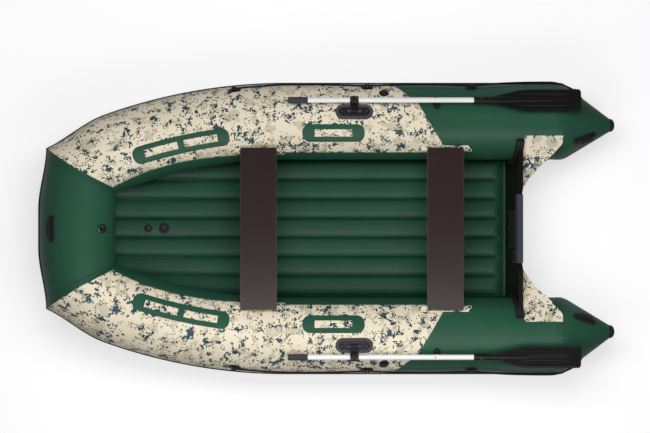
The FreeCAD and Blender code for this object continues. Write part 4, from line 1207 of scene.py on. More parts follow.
@dataclass(frozen=True)
class Pad:
    """Rounded patch, thin at its rim, with an optional raised bead just inside it."""

    length: float
    width: float
    corner: float
    thick: float
    edge: float = 0.003
    bead: float = 0.0
    bead_in: float = 0.006
    bead_half: float = 0.004
    rows: int = 61
    columns: int = 25
    bed: float = 0.002

    def plan(self) -> tuple[Array, Array, Array]:
        """Plan grid and height of the pad's top.

        Returns:
            Distances along and across, and a height that rises round a quarter circle from the rim
            and carries a bead, a bell curve of the distance from the rim.
        """
        half, wide = self.length / 2.0, self.width / 2.0
        s = np.linspace(-1.0, 1.0, self.rows)
        u = half * np.sin(s * np.pi / 2.0)
        past = np.clip(np.abs(u) - (half - self.corner), 0.0, self.corner)
        reach = wide - self.corner + np.sqrt(np.clip(self.corner ** 2 - past ** 2, 1e-9, None))
        t = np.sin(np.linspace(-1.0, 1.0, self.columns) * np.pi / 2.0)
        along, across = np.broadcast_arrays(u[:, None], reach[:, None] * t[None, :])
        q = np.maximum(np.stack([
            np.abs(along) - (half - self.corner), np.abs(across) - (wide - self.corner),
        ]), 0.0)
        inner = np.minimum(half - self.corner - np.abs(along), wide - self.corner - np.abs(across))
        inside = self.corner - np.linalg.norm(q, axis=0) + np.clip(inner, 0.0, None)
        part = np.clip(inside / self.edge, 0.0, 1.0)
        height = self.thick * (0.25 + 0.75 * np.sqrt(np.clip(1.0 - (1.0 - part) ** 2, 0.0, 1.0)))
        return along, across, height + self.bead * bell(inside - self.bead_in, self.bead_half)

    def flat(self, name: str, local: Local) -> bpy.types.Object:
        """Pad on a flat place.

        Args:
            name: Piece name.
            local: Frame at its middle.

        Returns:
            The piece.
        """
        along, across, height = self.plan()
        return Surface.slab(name, local.at(along, across, height), local.at(along, across, -self.bed))

    def hugging(self, name: str, x: float, roll: float, side: Side) -> bpy.types.Object:
        """Pad that follows the skin of tube or cone.

        Args:
            name: Piece name.
            x: X of its middle.
            roll: Roll of its middle.
            side: Side of the boat.

        Returns:
            The piece.
        """
        along, across, height = self.plan()
        run = float(HULL.run_at(x)) if x > HULL.stern_x else x - HULL.stern_x
        turn = roll + across / HULL.tube_r
        top = HULL.skin(run + along, turn, height)
        bottom = HULL.skin(run + along, turn, -self.bed)
        return Surface.slab(name, top, bottom, side)


def flip(local: Local, side: Side) -> Local:
    """Frame made for port, on a side of the boat."""
    s = side.value
    x, y, z = local.origin
    a, b, c = local.along
    d, e, f = local.out
    return Local((x, s * y, z), (a, s * b, c), (d, s * e, f))


@dataclass
class ConeCaps:
    """Moulded caps on the cones' tips."""

    lip: float = 0.003
    long: float = 0.026

    def build(self) -> None:
        """Builds a cap on each cone: a lipped collar, then a dome."""
        for side in Side:
            middle, radius = HULL.cone_line(np.asarray(1.0))
            rim = float(radius) + self.lip
            turn = np.linspace(0.0, np.pi / 2.0 - 0.02, 10)
            dome, neck = self.long - self.lip, rim - 0.0015
            profile = [
                (-0.006, rim - 0.003), (-0.004, rim), (self.lip, rim), (self.lip + 0.0008, neck),
                *((self.lip + dome * math.sin(t), neck * math.cos(t)) for t in turn),
            ]
            local = flip(Local(tuple(middle), (0.0, 1.0, 0.0), (-1.0, 0.0, 0.0)), side)
            cap = revolved(f"cap_{side.tag}", local, profile, 64)
            dress(cap, MOULDED, f"cone_cap_{side.tag}")


@dataclass
class Strakes:
    """Rubbing strakes with a raised crest between two fine beads."""

    half: float = 0.021
    thick: float = 0.0048
    crest: float = 0.0040
    back: float = 0.048
    bed: float = 0.002
    bead: float = 0.0014
    bead_off: float = 0.0165
    bead_half: float = 0.0018

    def section(self, high: Array) -> Array:
        """Height of the strake off the skin.

        Args:
            high: Distance above its middle.

        Returns:
            A slab with rounded edges plus a broad crest and a narrow bead each side of it.
        """
        edge = np.clip(1.0 - np.abs(high / self.half) ** 10, 0.04, 1.0) ** 0.5
        crest = 1.0 - smooth_step(0.005, 0.0115, np.abs(high))
        bead = self.bead * bell(np.abs(high) - self.bead_off, self.bead_half)
        return self.thick * edge + self.crest * crest + bead

    def build(self) -> None:
        """Builds both side strakes and the bow strake."""
        high = self.half * np.sin(np.linspace(-1.0, 1.0, 41) * np.pi / 2.0)[None, :]
        height = self.section(high)
        roll = np.pi / 2.0 - high / HULL.tube_r
        run = np.linspace(-self.back, HULL.length, 200)[:, None]
        fade = 0.3 + 0.7 * smooth_step(-self.back, -self.back + 0.02, run)
        top, low = HULL.skin(run, roll, height * fade), HULL.skin(run, roll, -self.bed)
        for side in Side:
            piece = Surface.slab(f"side_strake_{side.tag}", top, low, side, stacked(run, high))
            dress(piece, STRAKE, f"strake_{side.tag}")
        share = np.linspace(-1.0, 1.0, 81)[:, None]
        top, low = HULL.bow(share, roll, height), HULL.bow(share, roll, -self.bed)
        dress(Surface.slab("bow_strake", top, low, uv=stacked(share, high)), STRAKE, "strake_bow")


@dataclass
class CarryFrames:
    """Green cloth frames welded over the print, with open windows."""

    thick: float = 0.0022
    half: float = 0.048
    window: float = 0.020
    corner: float = 0.043
    inboard: float = 0.066
    fore_from: float = math.radians(6.9)
    fore_to: float = math.radians(18.8)
    fore_window: float = 0.188
    fore_gap: float = 0.036
    mid_x: float = -0.033
    mid_length: float = 0.345
    mid_window: float = 0.209
    lean_share: float = 0.8
    lift: float = 0.0014
    bed: float = 0.0004
    welt: float = 0.0008
    welt_in: float = 0.005
    welt_half: float = 0.0018

    def sheet(self, name: str, length: float, windows: list[tuple[float, float]], middle: float,
              side: Side, *nodes: str) -> None:
        """Builds a frame over the tube.

        Args:
            name: Piece name.
            length: Its length along the tube.
            windows: Start and end of each window from the middle.
            middle: Run of its middle.
            side: Side of the boat.
            nodes: Nodes that it replaces.
        """
        marks = sorted({-length / 2.0, length / 2.0, *(w for pair in windows for w in pair)})
        ease = np.linspace(0.0, 1.0, 28, endpoint=False)
        eases = [ease] * (len(marks) - 1)
        eases[0] = 1.0 - np.cos(ease * np.pi / 2.0)
        eases[-1] = np.sin(ease * np.pi / 2.0)
        spans = [a + (b - a) * e for a, b, e in zip(marks, marks[1:], eases)]
        u = np.concatenate([*spans, [length / 2.0]])
        past = np.clip(np.abs(u) - (length / 2.0 - self.corner), 0.0, self.corner)
        reach = self.half - self.corner + np.sqrt(np.clip(self.corner ** 2 - past ** 2, 1e-8, None))
        inner = np.minimum(self.window, 0.45 * reach)
        t = np.linspace(-1.0, 1.0, 33)
        near = np.clip(np.abs(t) * 2.0, 0.0, 1.0)[None, :]
        far = np.clip(np.abs(t) * 2.0 - 1.0, 0.0, 1.0)[None, :]
        out = np.sign(t)[None, :] * (inner[:, None] * near + (reach - inner)[:, None] * far)
        mid_u, mid_t = (u[1:] + u[:-1]) / 2.0, (t[1:] + t[:-1]) / 2.0
        holes = np.zeros((len(u) - 1, len(t) - 1), bool)
        for start, end in windows:
            holes |= ((mid_u > start) & (mid_u < end))[:, None] & (np.abs(mid_t) < 0.5)[None, :]
        offset = out - self.inboard
        roll = np.arcsin(offset / HULL.tube_r)
        run = middle + u[:, None] + 0.0 * out
        angle = (run - HULL.straight) / (HULL.bend_r - self.inboard)
        slope = HULL.slope(HULL.bend_x + HULL.bend_r * np.sin(angle))
        lean = self.lean_share * slope * HULL.tube_r * np.cos(roll)
        run = np.where(middle > HULL.straight, HULL.straight + angle * HULL.bend_r + lean, run)
        rim = reach[:, None] - np.abs(out)
        welt = self.welt * bell(rim - self.welt_in, self.welt_half)
        lift = self.thick * (0.6 + 0.4 * np.sqrt(np.clip(rim / 0.006, 0.0, 1.0))) + welt
        top = HULL.side(run, roll, lift + self.lift)
        low = HULL.side(run, roll, self.bed)
        piece = Surface.slab(name, top, low, side, keep=~holes)
        dress(piece, GREEN, *nodes)

    def build(self) -> None:
        """Builds two frames a side."""
        for side in Side:
            reach = self.mid_window / 2.0
            middle = self.mid_x - HULL.stern_x
            self.sheet(f"mid_frame_{side.tag}", self.mid_length, [(-reach, reach)], middle, side,
                       f"fabric_frames_{side.tag}")
            radius = HULL.bend_r - self.inboard
            length = (self.fore_to - self.fore_from) * radius
            near = self.fore_gap / 2.0
            far = near + self.fore_window
            middle = HULL.straight + (self.fore_from + self.fore_to) / 2.0 * radius
            self.sheet(f"fore_frame_{side.tag}", length, [(-far, -near), (near, far)], middle, side)


@dataclass
class Knees:
    """Printed cloth gussets between the tubes' tops and the transom."""

    slope: float = math.radians(24.0)
    thick: float = 0.0024
    out_y: float = 0.514
    in_y: float = 0.196
    edge_y: tuple[float, ...] = (0.196, 0.215, 0.240, 0.279, 0.343, 0.383, 0.430, 0.468, 0.480, 0.514)
    edge_x: tuple[float, ...] = (
        -1.076, -1.082, -1.096, -1.122, -1.176, -1.222, -1.266, -1.299, -1.302, -1.302,
    )
    lift: float = 0.0006
    board_x: float = -1.0295
    board_z: float = 0.048
    board_lean: float = math.radians(9.0)
    corner_x: float = 0.012
    corner_y: float = 0.03
    dip: float = 0.008
    hem: float = 0.0007
    cut_x: float = 0.245

    def build(self) -> None:
        """Builds both gussets, each a sheet on the tube's tangent that dips a little where it is free."""
        y = self.in_y + (self.out_y - self.in_y) * np.linspace(0.0, 1.0, 70)[:, None]
        s = np.linspace(0.0, 1.0, 50)[None, :]
        fall, reach = math.tan(self.slope), HULL.tube_r + self.lift
        y0 = HULL.tube_y - reach * math.sin(self.slope)
        z0 = HULL.axis_z + reach * math.cos(self.slope)
        plane = z0 - (y0 - np.minimum(y, y0)) * fall + np.clip(y - y0, 0.0, None) * fall * 0.5
        aft = np.interp(y, self.edge_y, self.edge_x)
        board = self.board_x - math.tan(self.board_lean) * (plane - self.board_z) - self.lift
        near = np.clip((y - self.out_y + self.corner_y) / self.corner_y, 0.0, 1.0)
        fore = np.maximum(board, aft + 0.002) - self.corner_x * (1.0 - np.sqrt(1.0 - near ** 2))
        x = fore + (aft - fore) * s
        free = np.clip((y0 - y) / (y0 - self.in_y), 0.0, 1.0)
        z = plane - self.dip * np.sin(np.pi * free) * np.sin(np.pi * s * 0.9)
        hem = self.hem * bell(np.minimum(s, 1.0 - s) * np.abs(aft - fore) - 0.004, 0.0015)
        top, low = stacked(x, y, z + self.thick + hem), stacked(x, y, z)
        for side in Side:
            uv = stacked(x + 3.0 * (side is Side.PORT), y / math.cos(self.slope))
            piece = Surface.slab(f"knee_sheet_{side.tag}", top, low, side, uv)
            dress(piece, CAMO, f"transom_knee_{side.tag}")


@dataclass
class SeatRails:
    """Printed rail bands with a bead that the planks' cleats slide on."""

    roll: float = math.radians(46.0)
    bead_r: float = 0.006
    bead_lift: float = 0.011
    half: float = 0.022
    sink: float = 0.022
    seat_w: float = 0.202
    travel: float = 0.045
    fore_x: float = 0.382
    aft_x: float = -0.653

    @property
    def length(self) -> float:
        """Length of a rail: the plank's width and its travel both ways."""
        return self.seat_w + 2.0 * self.travel

    def bead_line(self, seat_x: float) -> tuple[float, float]:
        """Y and Z of the bead: off the tube's skin at the rail's fore end."""
        fore = on_tube(seat_x + self.seat_w / 2.0 + self.travel, 0.0, -HULL.tube_r).origin
        out = HULL.tube_r + self.bead_lift
        return fore[1] - out * math.sin(self.roll), fore[2] + out * math.cos(self.roll)

    def rail(self, name: str, seat_x: float, side: Side, *nodes: str) -> None:
        """Builds a rail: a bellied flange with a slanted aft end, a stem and a bead.

        Args:
            name: Piece name.
            seat_x: X of the seat's middle.
            side: Side of the boat.
            nodes: Nodes that it replaces.
        """
        y, z = self.bead_line(seat_x)
        cos, sin = math.cos(self.roll), math.sin(self.roll)
        local = Local((seat_x, y, z), (1.0, 0.0, 0.0), (0.0, -sin, cos))
        s = np.linspace(-1.0, 1.0, 40)[:, None]
        t = np.linspace(-1.0, 1.0, 21)[None, :]
        across = t * self.half
        slant = 0.016 * (1.0 + t) / 2.0 * (s < 0.0)
        along = s * (self.length / 2.0 - 0.0004 - slant)
        foot = -(self.bead_lift - 0.0034) - across ** 2 / HULL.tube_r / 2.0
        rise = 0.0026 * bell(across, 0.004)
        top = local.at(along, across, foot + rise)
        low = local.at(along, across, -self.sink)
        uv = stacked(along + seat_x, across + 0.5)
        flange = Surface.slab(f"{name}_flange_{side.tag}", top, low, side, uv)
        dress(flange, CAMO, *nodes)
        section = np.array([
            (0.0025, -self.bead_lift + 0.004), (0.0025, -0.0055), (0.0048, -0.0036), (self.bead_r, 0.0),
            (0.0042, 0.0042), (0.0, self.bead_r), (-0.0042, 0.0042), (-self.bead_r, 0.0),
            (-0.0048, -0.0036), (-0.0025, -0.0055), (-0.0025, -self.bead_lift + 0.004),
        ])
        run = np.linspace(-self.length / 2.0, self.length / 2.0, 12)[:, None]
        grid = local.at(run, section[None, :, 0], section[None, :, 1])
        girth = 0.004 * np.arange(len(section))[None, :]
        uv = stacked(run + seat_x, girth + 0.8)
        bead = Surface.tube(f"{name}_bead_{side.tag}", mirrored(grid, side), uv)
        dress(bead, CAMO)

    def build(self) -> None:
        """Builds both rails of both seats."""
        for side in Side:
            for word, seat_x in (("fore", self.fore_x), ("aft", self.aft_x)):
                nodes = [f"seat_rails_{word}"] if side is Side.PORT else []
                self.rail(f"{word}_rail", seat_x, side, *nodes)


@dataclass
class SeatPlanks:
    """Film-faced plywood planks with a pale bare edge."""

    corner: float = 0.012
    edge: float = 0.0016
    trim: float = 0.004
    proud: float = 0.0003

    @staticmethod
    def level(flat: Array, z: float) -> Array:
        """Outline at a height."""
        return np.concatenate([flat, np.full((len(flat), 1), z)], 1)

    def plank(self, node: str, body: Body) -> None:
        """Builds one plank in its node's box.

        Args:
            node: Node that it replaces.
            body: Body that it rides on.
        """
        low, high = (np.array(corner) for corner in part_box(node))
        middle, half = (low + high) / 2.0, (high - low) / 2.0
        half[1] -= self.trim
        top, side = half[2], half[2] - self.edge
        turn = np.linspace(0.0, np.pi / 2.0, 9)
        quarter = np.stack([np.cos(turn), np.sin(turn)], -1)
        rim = []
        for k, signs in enumerate(((1, 1), (-1, 1), (-1, -1), (1, -1))):
            arc = quarter[::-1] if k % 2 else quarter
            rim.append((half[:2] - self.corner + arc * self.corner) * np.array(signs))
        outline = np.concatenate(rim)
        inward = outline * (1.0 - self.edge / np.abs(outline).max(1, keepdims=True).clip(0.05))
        levels = ((inward, -top), (outline, -side), (outline, side), (inward, top))
        grid = np.stack([self.level(flat, z) for flat, z in levels]) + middle
        board = Surface.tube(f"{node}_plank", grid, smooth=False)
        dress(board, PLYWOOD, node, body=body.value)
        ring = outline + np.sign(outline) * self.proud
        heights = np.linspace(-side, side, 5)
        outer = [self.level(ring, z) for z in heights]
        inner = [self.level(outline * 0.99, z) for z in heights[::-1]]
        band = Surface.loop(f"{node}_edge", np.stack([*outer, *inner]) + middle)
        dress(band, PLY_EDGE, body=body.value)

    def build(self) -> None:
        """Builds both planks."""
        self.plank("seat_fore", Body.FORE_SEAT)
        self.plank("seat_aft", Body.AFT_SEAT)


@dataclass
class Lifelines:
    """Braided ropes along the tubes, through their holders."""

    radius: float = 0.005
    lift: float = 0.013
    roll: float = math.radians(62.0)
    end_roll: float = math.radians(84.0)
    sag: float = math.radians(6.0)
    stations: tuple[float, ...] = (0.505, -0.220, -0.800, -1.302, -1.385)
    steps: tuple[int, ...] = (4, 4, 4, 1)
    held: tuple[int, ...] = (0, 1, 2, 4)
    strands: int = 4
    lay: float = 0.032
    step: float = 0.0022
    ripple: float = 0.045
    sleeve_half: float = 0.0148
    sleeve_r: float = 0.0078
    sleeve_t: float = 0.0026
    eye_r: float = 0.0128

    def rolls(self) -> list[float]:
        """Roll at each station: level to the last but two, then down the tube."""
        level = len(self.stations) - 2
        drop = (self.end_roll - self.roll) / (self.stations[-1] - self.stations[level - 1])
        tail = [self.roll + drop * (x - self.stations[level - 1]) for x in self.stations[level:]]
        return [self.roll] * level + tail

    def point(self, x: float, roll: float) -> Array:
        """Rope's middle at a place along the boat and a roll."""
        if x < HULL.stern_x:
            share = np.asarray((HULL.stern_x - x) / HULL.cone_l)
            return HULL.cone(share, np.asarray(roll), self.lift)
        return np.array(on_tube(x, roll, self.lift).origin)

    def route(self) -> Array:
        """Points of the port rope, sagging between its holders."""
        rolls, points = self.rolls(), []
        for i, steps in enumerate(self.steps):
            for k in range(steps):
                share = k / steps
                x = self.stations[i] + (self.stations[i + 1] - self.stations[i]) * share
                roll = rolls[i] + (rolls[i + 1] - rolls[i]) * share
                points.append(self.point(x, roll + self.sag * 4.0 * share * (1.0 - share)))
        return np.array([*points, self.point(self.stations[-1], rolls[-1])])

    def line(self, name: str, route: Array) -> Array:
        """Points of the smooth line that a route controls.

        Args:
            name: Name of the curve, which is removed.
            route: Control points of its NURBS spline.

        Returns:
            Points that the curve's own mesh gives.
        """
        curve = bpy.data.curves.new(name, "CURVE")
        curve.dimensions = "3D"
        spline = curve.splines.new("NURBS")
        spline.points.add(len(route) - 1)
        spline.points.foreach_set("co", np.concatenate([route, np.ones((len(route), 1))], 1).ravel())
        spline.order_u = 3
        spline.use_endpoint_u = True
        spline.resolution_u = 48
        thing = bpy.data.objects.new(name, curve)
        bpy.context.scene.collection.objects.link(thing)
        mesh = bpy.data.meshes.new_from_object(thing)
        points = np.zeros(len(mesh.vertices) * 3)
        mesh.vertices.foreach_get("co", points)
        bpy.data.objects.remove(thing)
        bpy.data.curves.remove(curve)
        bpy.data.meshes.remove(mesh)
        return points.reshape(-1, 3)

    def rope(self, side: Side) -> None:
        """Builds one rope: a tube whose radius ripples along two opposed helices.

        Args:
            side: Side of the boat.
        """
        path = mirrored(self.line(f"route_{side.tag}", self.route()), side)
        step = np.linalg.norm(np.diff(path, axis=0), axis=1)
        run = np.concatenate([[0.0], np.cumsum(step)])
        fine = np.linspace(0.0, run[-1], int(run[-1] / self.step))
        even = np.stack([np.interp(fine, run, path[:, i]) for i in range(3)], -1)
        turn = 2.0 * np.pi * np.arange(20)[None, :] / 20
        phase = 2.0 * np.pi * fine[:, None] / self.lay
        braid = np.cos(self.strands * turn + phase * 2.0) * np.cos(self.strands * turn - phase * 2.0)
        radius = self.radius * (1.0 - self.ripple + self.ripple * braid)
        section = np.stack([radius * np.cos(turn), radius * np.sin(turn)], -1)
        grid = sweep(even, section, (0.0, 0.0, 1.0))
        uv = stacked(fine[:, None], turn * self.radius)
        piece = Surface.tube(f"rope_{side.tag}", grid, uv)
        dress(piece, ROPE, f"lifeline_{side.tag}")

    def holder(self, index: int, side: Side, *nodes: str) -> None:
        """Builds a holder: an oval pad and a sleeve with rolled ends round the rope.

        Args:
            index: Number of its station.
            side: Side of the boat.
            nodes: Nodes that it replaces.
        """
        name = f"holder_{index}_{side.tag}"
        x, roll = self.stations[index], self.rolls()[index]
        pad = Pad(0.072, 0.044, 0.021, 0.0045, 0.006, rows=41, columns=21)
        piece = pad.hugging(f"{name}_pad", x, roll, side)
        dress(piece, MOULDED, *nodes)
        route = self.route()
        place = sum(self.steps[:index])
        ahead = unit(route[min(place + 1, len(route) - 1)] - route[max(place - 1, 0)])
        upright = (0.0, math.sin(roll), math.cos(roll))
        radial = np.array(upright if x < HULL.stern_x else on_tube(x, roll).out)
        out = unit(radial - ahead * float(radial @ ahead))
        local = flip(Local(tuple(route[place]), tuple(ahead), tuple(out)), side)
        ends = np.linspace(0.0, 2.0 * np.pi, 33)[:-1]
        along = self.sleeve_half * signed_power(np.cos(ends), 0.6)
        radius = self.sleeve_r + self.sleeve_t * signed_power(np.sin(ends), 0.6)
        dress(Surface.ring(f"{name}_sleeve", local, along, radius, 28), MOULDED)
        bend = np.linspace(-0.62 * np.pi, 0.62 * np.pi, 25)
        arch = local.at(0.0, self.eye_r * np.sin(bend), self.eye_r * np.cos(bend))
        eye = Surface.tube(f"{name}_eye", sweep(arch, oval(0.0075, 0.0030, 12), local.along))
        dress(eye, STEEL if index == self.held[1] else MOULDED)

    def build(self) -> None:
        """Builds both ropes and their holders."""
        for side in Side:
            self.rope(side)
            for index in self.held:
                nodes = [f"lifeline_holders_{side.tag}"] if index == self.held[0] else []
                self.holder(index, side, *nodes)


@dataclass
class Oars:
    """Oars with a ribbed grip, a bright shaft and a ribbed blade, and the collars that hold them."""

    lock_x: float = -0.148
    roll: float = math.radians(26.7)
    lift: float = 0.044
    shaft_r: float = 0.015
    fore: float = 0.257
    aft: float = 0.699
    in_grip: float = 0.1
    bore: float = 0.011
    grip_l: float = 0.111
    grip_r: float = 0.018
    collar_l: float = 0.047
    collar_r: float = 0.023
    foot_low: float = 0.0181
    foot_r: float = 0.017
    blade_l: float = 0.592
    neck_l: float = 0.080
    neck_r: float = 0.020
    flare: float = 0.270
    half: float = 0.065
    sheet: float = 0.003
    rib: float = 0.004
    rib_y: float = 0.036
    rim_l: float = 0.022
    corner: float = 0.018
    button_x: float = -0.446
    rivet_x: float = -0.701

    def shaft(self, side: Side, local: Local) -> None:
        """Builds the shaft and its spring button."""
        start, end = -self.aft, self.fore + self.in_grip
        even = [(float(v), self.shaft_r) for v in np.linspace(start, end, 60)]
        rings = [(start, self.bore), *even, (end, self.bore)]
        piece = revolved(f"shaft_{side.tag}", local, rings, 48, axis="along")
        dress(piece, ALUMINIUM, f"oar_shaft_{side.tag}", body=Body.oar(side))
        place = local.turned(self.button_x, -0.006, self.shaft_r - 0.0022)
        button = revolved(f"shaft_button_{side.tag}", place, domed(0.0032, 0.0032, 0.0012), 20)
        dress(button, MOULDED, body=Body.oar(side))

    def grip(self, side: Side, local: Local) -> None:
        """Builds the grip: a sleeve with fine rings, a rolled mouth and a rounded end."""
        start, end = self.fore, self.fore + self.grip_l
        run = np.linspace(start + 0.004, end - 0.006, 120)
        ring = self.grip_r - 0.0007 * (0.5 + 0.5 * np.cos(2.0 * np.pi * (run - start) / 0.0072))
        turn = np.linspace(0.1, np.pi / 2.0 - 0.03, 8)
        profile = [
            (start, self.shaft_r + 0.0004), (start, self.grip_r - 0.0012), (start + 0.0016, self.grip_r),
            *((float(a), float(b)) for a, b in zip(run, ring)),
            *((end - 0.006 + 0.006 * math.sin(t), self.grip_r * math.cos(t) ** 0.35) for t in turn),
        ]
        piece = revolved(f"grip_{side.tag}", local, profile, 40, axis="along")
        dress(piece, GRIP_BLACK, f"oar_grip_{side.tag}", body=Body.oar(side))

    def width(self, run: Array) -> Array:
        """Half width of the blade: neck, an eased flare, and rounded corners at the end."""
        flare = smooth_step(self.neck_l * 0.9, self.flare * 1.12, run)
        wide = self.neck_r + (self.half - self.neck_r) * flare
        past = np.clip(run - (self.blade_l - self.corner), 0.0, self.corner)
        return wide - self.corner + np.sqrt(np.clip(self.corner ** 2 - past ** 2, 1e-7, None))

    def thickness(self, run: Array, y: Array) -> Array:
        """Half thickness of the blade: the greatest of sheet, spine, side ribs and end rim."""
        slim = smooth_step(self.neck_l * 0.7, self.blade_l * 0.9, run)
        spine_r = self.neck_r - (self.neck_r - 0.006) * slim
        spine = spine_r * np.sqrt(np.clip(1.0 - (y / spine_r) ** 2, 0.0, 1.0))
        spine = np.where(run > self.blade_l - 0.060, 0.0, spine)
        inside = smooth_step(self.flare * 0.86, self.flare, run) * (1.0 - smooth_step(0.512, 0.520, run))
        rib = self.rib * inside * np.exp(-((np.abs(y) - self.rib_y) / 0.0022) ** 4)
        edge = 0.0016 * bell(self.width(run) - np.abs(y) - 0.0035, 0.0028)
        rim = 0.0042 * smooth_step(self.blade_l - self.rim_l - 0.004, self.blade_l - self.rim_l, run)
        groove = 0.0014 * bell(np.abs(y) - 0.016, 0.0018) * inside
        return np.maximum(self.sheet + rib + edge + rim - groove, spine)

    def blade(self, side: Side, local: Local) -> None:
        """Builds the blade as one slab, and the rivet in its neck."""
        start = -(self.aft - self.neck_l / 2.0)
        run = np.concatenate([
            np.linspace(0.0, 0.25, 44)[:-1], np.linspace(0.25, 0.545, 60)[:-1],
            self.blade_l - 0.047 * np.cos(np.linspace(0.0, np.pi / 2.0, 22)),
        ])[:, None]
        t = np.linspace(-1.0, 1.0, 127)[None, :]
        y = self.width(run) * t
        thick = np.maximum(self.thickness(run, y), 0.0006)
        top = local.at(start - run, y, thick)
        low = local.at(start - run, y, -thick)
        piece = Surface.slab(f"blade_{side.tag}", top, low)
        dress(piece, BLADE_BLACK, f"oar_blade_{side.tag}", body=Body.oar(side))
        place = local.turned(self.rivet_x, 0.0, self.neck_r - 0.0012)
        rivet = revolved(f"blade_rivet_{side.tag}", place, domed(0.0026, 0.0042, 0.0016), 24)
        dress(rivet, STEEL, body=Body.oar(side))

    def collar(self, side: Side, local: Local) -> None:
        """Builds the collar round the shaft and its foot on the pivot pin."""
        ends = np.linspace(0.0, 2.0 * np.pi, 41)[:-1]
        along = self.collar_l / 2.0 * signed_power(np.cos(ends), 0.4)
        mean, depth = (self.collar_r + self.shaft_r) / 2.0, (self.collar_r - self.shaft_r - 0.0004) / 2.0
        radius = mean + 0.0002 + depth * signed_power(np.sin(ends), 0.5)
        ring = Surface.ring(f"collar_{side.tag}", local, along, radius, 44)
        dress(ring, MOULDED, f"oar_collar_{side.tag}", body=Body.oar(side))
        low = self.foot_low - self.lift
        profile = [
            (low, self.foot_r - 0.002), (low + 0.002, self.foot_r),
            (-0.019, self.foot_r), (-0.016, self.foot_r - 0.004),
        ]
        foot = revolved(f"collar_foot_{side.tag}", local, profile, 40)
        dress(foot, MOULDED, body=Body.oar(side))
        for word, off in (("aft", -0.014), ("fore", 0.014)):
            head = local.turned(off, 0.0, self.collar_r - 0.0012)
            bolt = revolved(f"collar_bolt_{word}_{side.tag}", head, domed(0.0030, 0.0040, 0.0012), 6)
            dress(bolt, STEEL, body=Body.oar(side))

    def build(self) -> None:
        """Builds both oars."""
        for side in Side:
            local = flip(on_tube(self.lock_x, self.roll, self.lift), side)
            self.shaft(side, local)
            self.grip(side, local)
            self.blade(side, local)
            self.collar(side, local)


@dataclass
class Oarlocks:
    """Oarlock pads with rolled rims, bosses and lugs, and the cradles for stowed oars."""

    x: float = -0.148
    roll: float = math.radians(13.8)
    length: float = 0.209
    width: float = 0.086
    barrel: float = 0.018
    boss_pitch: float = 0.136
    lug_l: float = 0.015
    lug_r: float = 0.010
    knuckle_l: float = 0.0412
    cradle_x: float = -0.604
    cradle_roll: float = math.radians(26.7)
    knob_off: float = 0.023

    def lock(self, side: Side) -> None:
        """Builds one oarlock's fixed part."""
        pad = Pad(self.length, self.width, 0.042, 0.0052, 0.005, 0.0042, 0.009, 0.0042, 91, 45)
        piece = pad.hugging(f"lock_pad_{side.tag}", self.x, self.roll, side)
        dress(piece, LOCK_GREY, f"oarlock_base_{side.tag}")
        well = Pad(self.length - 0.036, self.width - 0.036, 0.0245, 0.0074, 0.003, rows=61, columns=31)
        dress(well.hugging(f"lock_well_{side.tag}", self.x, self.roll, side), MOULDED)
        local = flip(on_tube(self.x, self.roll), side)
        for end in (-1, 1):
            word = "fore" if end > 0 else "aft"
            boss = local.turned(end * self.boss_pitch / 2.0)
            piece = revolved(f"lock_boss_{word}_{side.tag}", boss, domed(0.0150, 0.0125, 0.0040), 32)
            dress(piece, MOULDED)
            screw = domed(0.0022, 0.0050, 0.0012)
            piece = revolved(f"lock_screw_{word}_{side.tag}", boss.turned(0.0, 0.0, 0.0140), screw, 20)
            dress(piece, VALVE_GREY)
            hinge = local.turned(end * (self.knuckle_l + self.lug_l) / 2.0, 0.0, self.barrel)
            turn = np.linspace(0.0, 2.0 * np.pi, 33)[:-1]
            wide, high = self.lug_r * np.cos(turn), self.lug_r * np.sin(turn)
            below = high < 0.0
            high = np.where(below, high * (self.barrel - 0.004) / self.lug_r, high)
            wide = np.where(below, np.sign(wide) * np.maximum(np.abs(wide), self.lug_r * 0.96), wide)
            along = self.lug_l / 2.0 * np.array([-1.0, -0.92, 0.92, 1.0])[:, None]
            size = np.array([0.9, 1.0, 1.0, 0.9])[:, None]
            lug = Surface.tube(f"lock_lug_{word}_{side.tag}", hinge.at(along, size * wide, size * high))
            dress(lug, VALVE_GREY)
            head = Local(hinge.at(end * self.lug_l / 2.0, 0.0, 0.0), local.along, local.out)
            profile = [(0.0, 0.0055), (end * 0.0022, 0.0055), (end * 0.0030, 0.0045), (end * 0.0032, 0.0002)]
            piece = revolved(f"lock_pin_head_{word}_{side.tag}", head, profile, 20, axis="along")
            dress(piece, STEEL)

    def cradle(self, side: Side) -> None:
        """Builds one cradle: a round pad and two mushroom knobs."""
        pad = Pad(0.044, 0.060, 0.021, 0.0045, 0.004, rows=31, columns=31)
        piece = pad.hugging(f"cradle_pad_{side.tag}", self.cradle_x, self.cradle_roll, side)
        dress(piece, MOULDED, f"oar_cradle_{side.tag}")
        local = flip(on_tube(self.cradle_x, self.cradle_roll), side)
        knob = [
            (0.0, 0.0088), (0.0115, 0.0072), (0.0125, 0.0086), (0.0160, 0.0088),
            (0.0186, 0.0070), (0.0198, 0.0040), (0.0202, 0.0002),
        ]
        for word, off in (("inner", -self.knob_off), ("outer", self.knob_off)):
            foot = local.turned(0.0, off * side.value)
            dress(revolved(f"cradle_knob_{word}_{side.tag}", foot, knob, 28), MOULDED)

    def build(self) -> None:
        """Builds both sides."""
        for side in Side:
            self.lock(side)
            self.cradle(side)


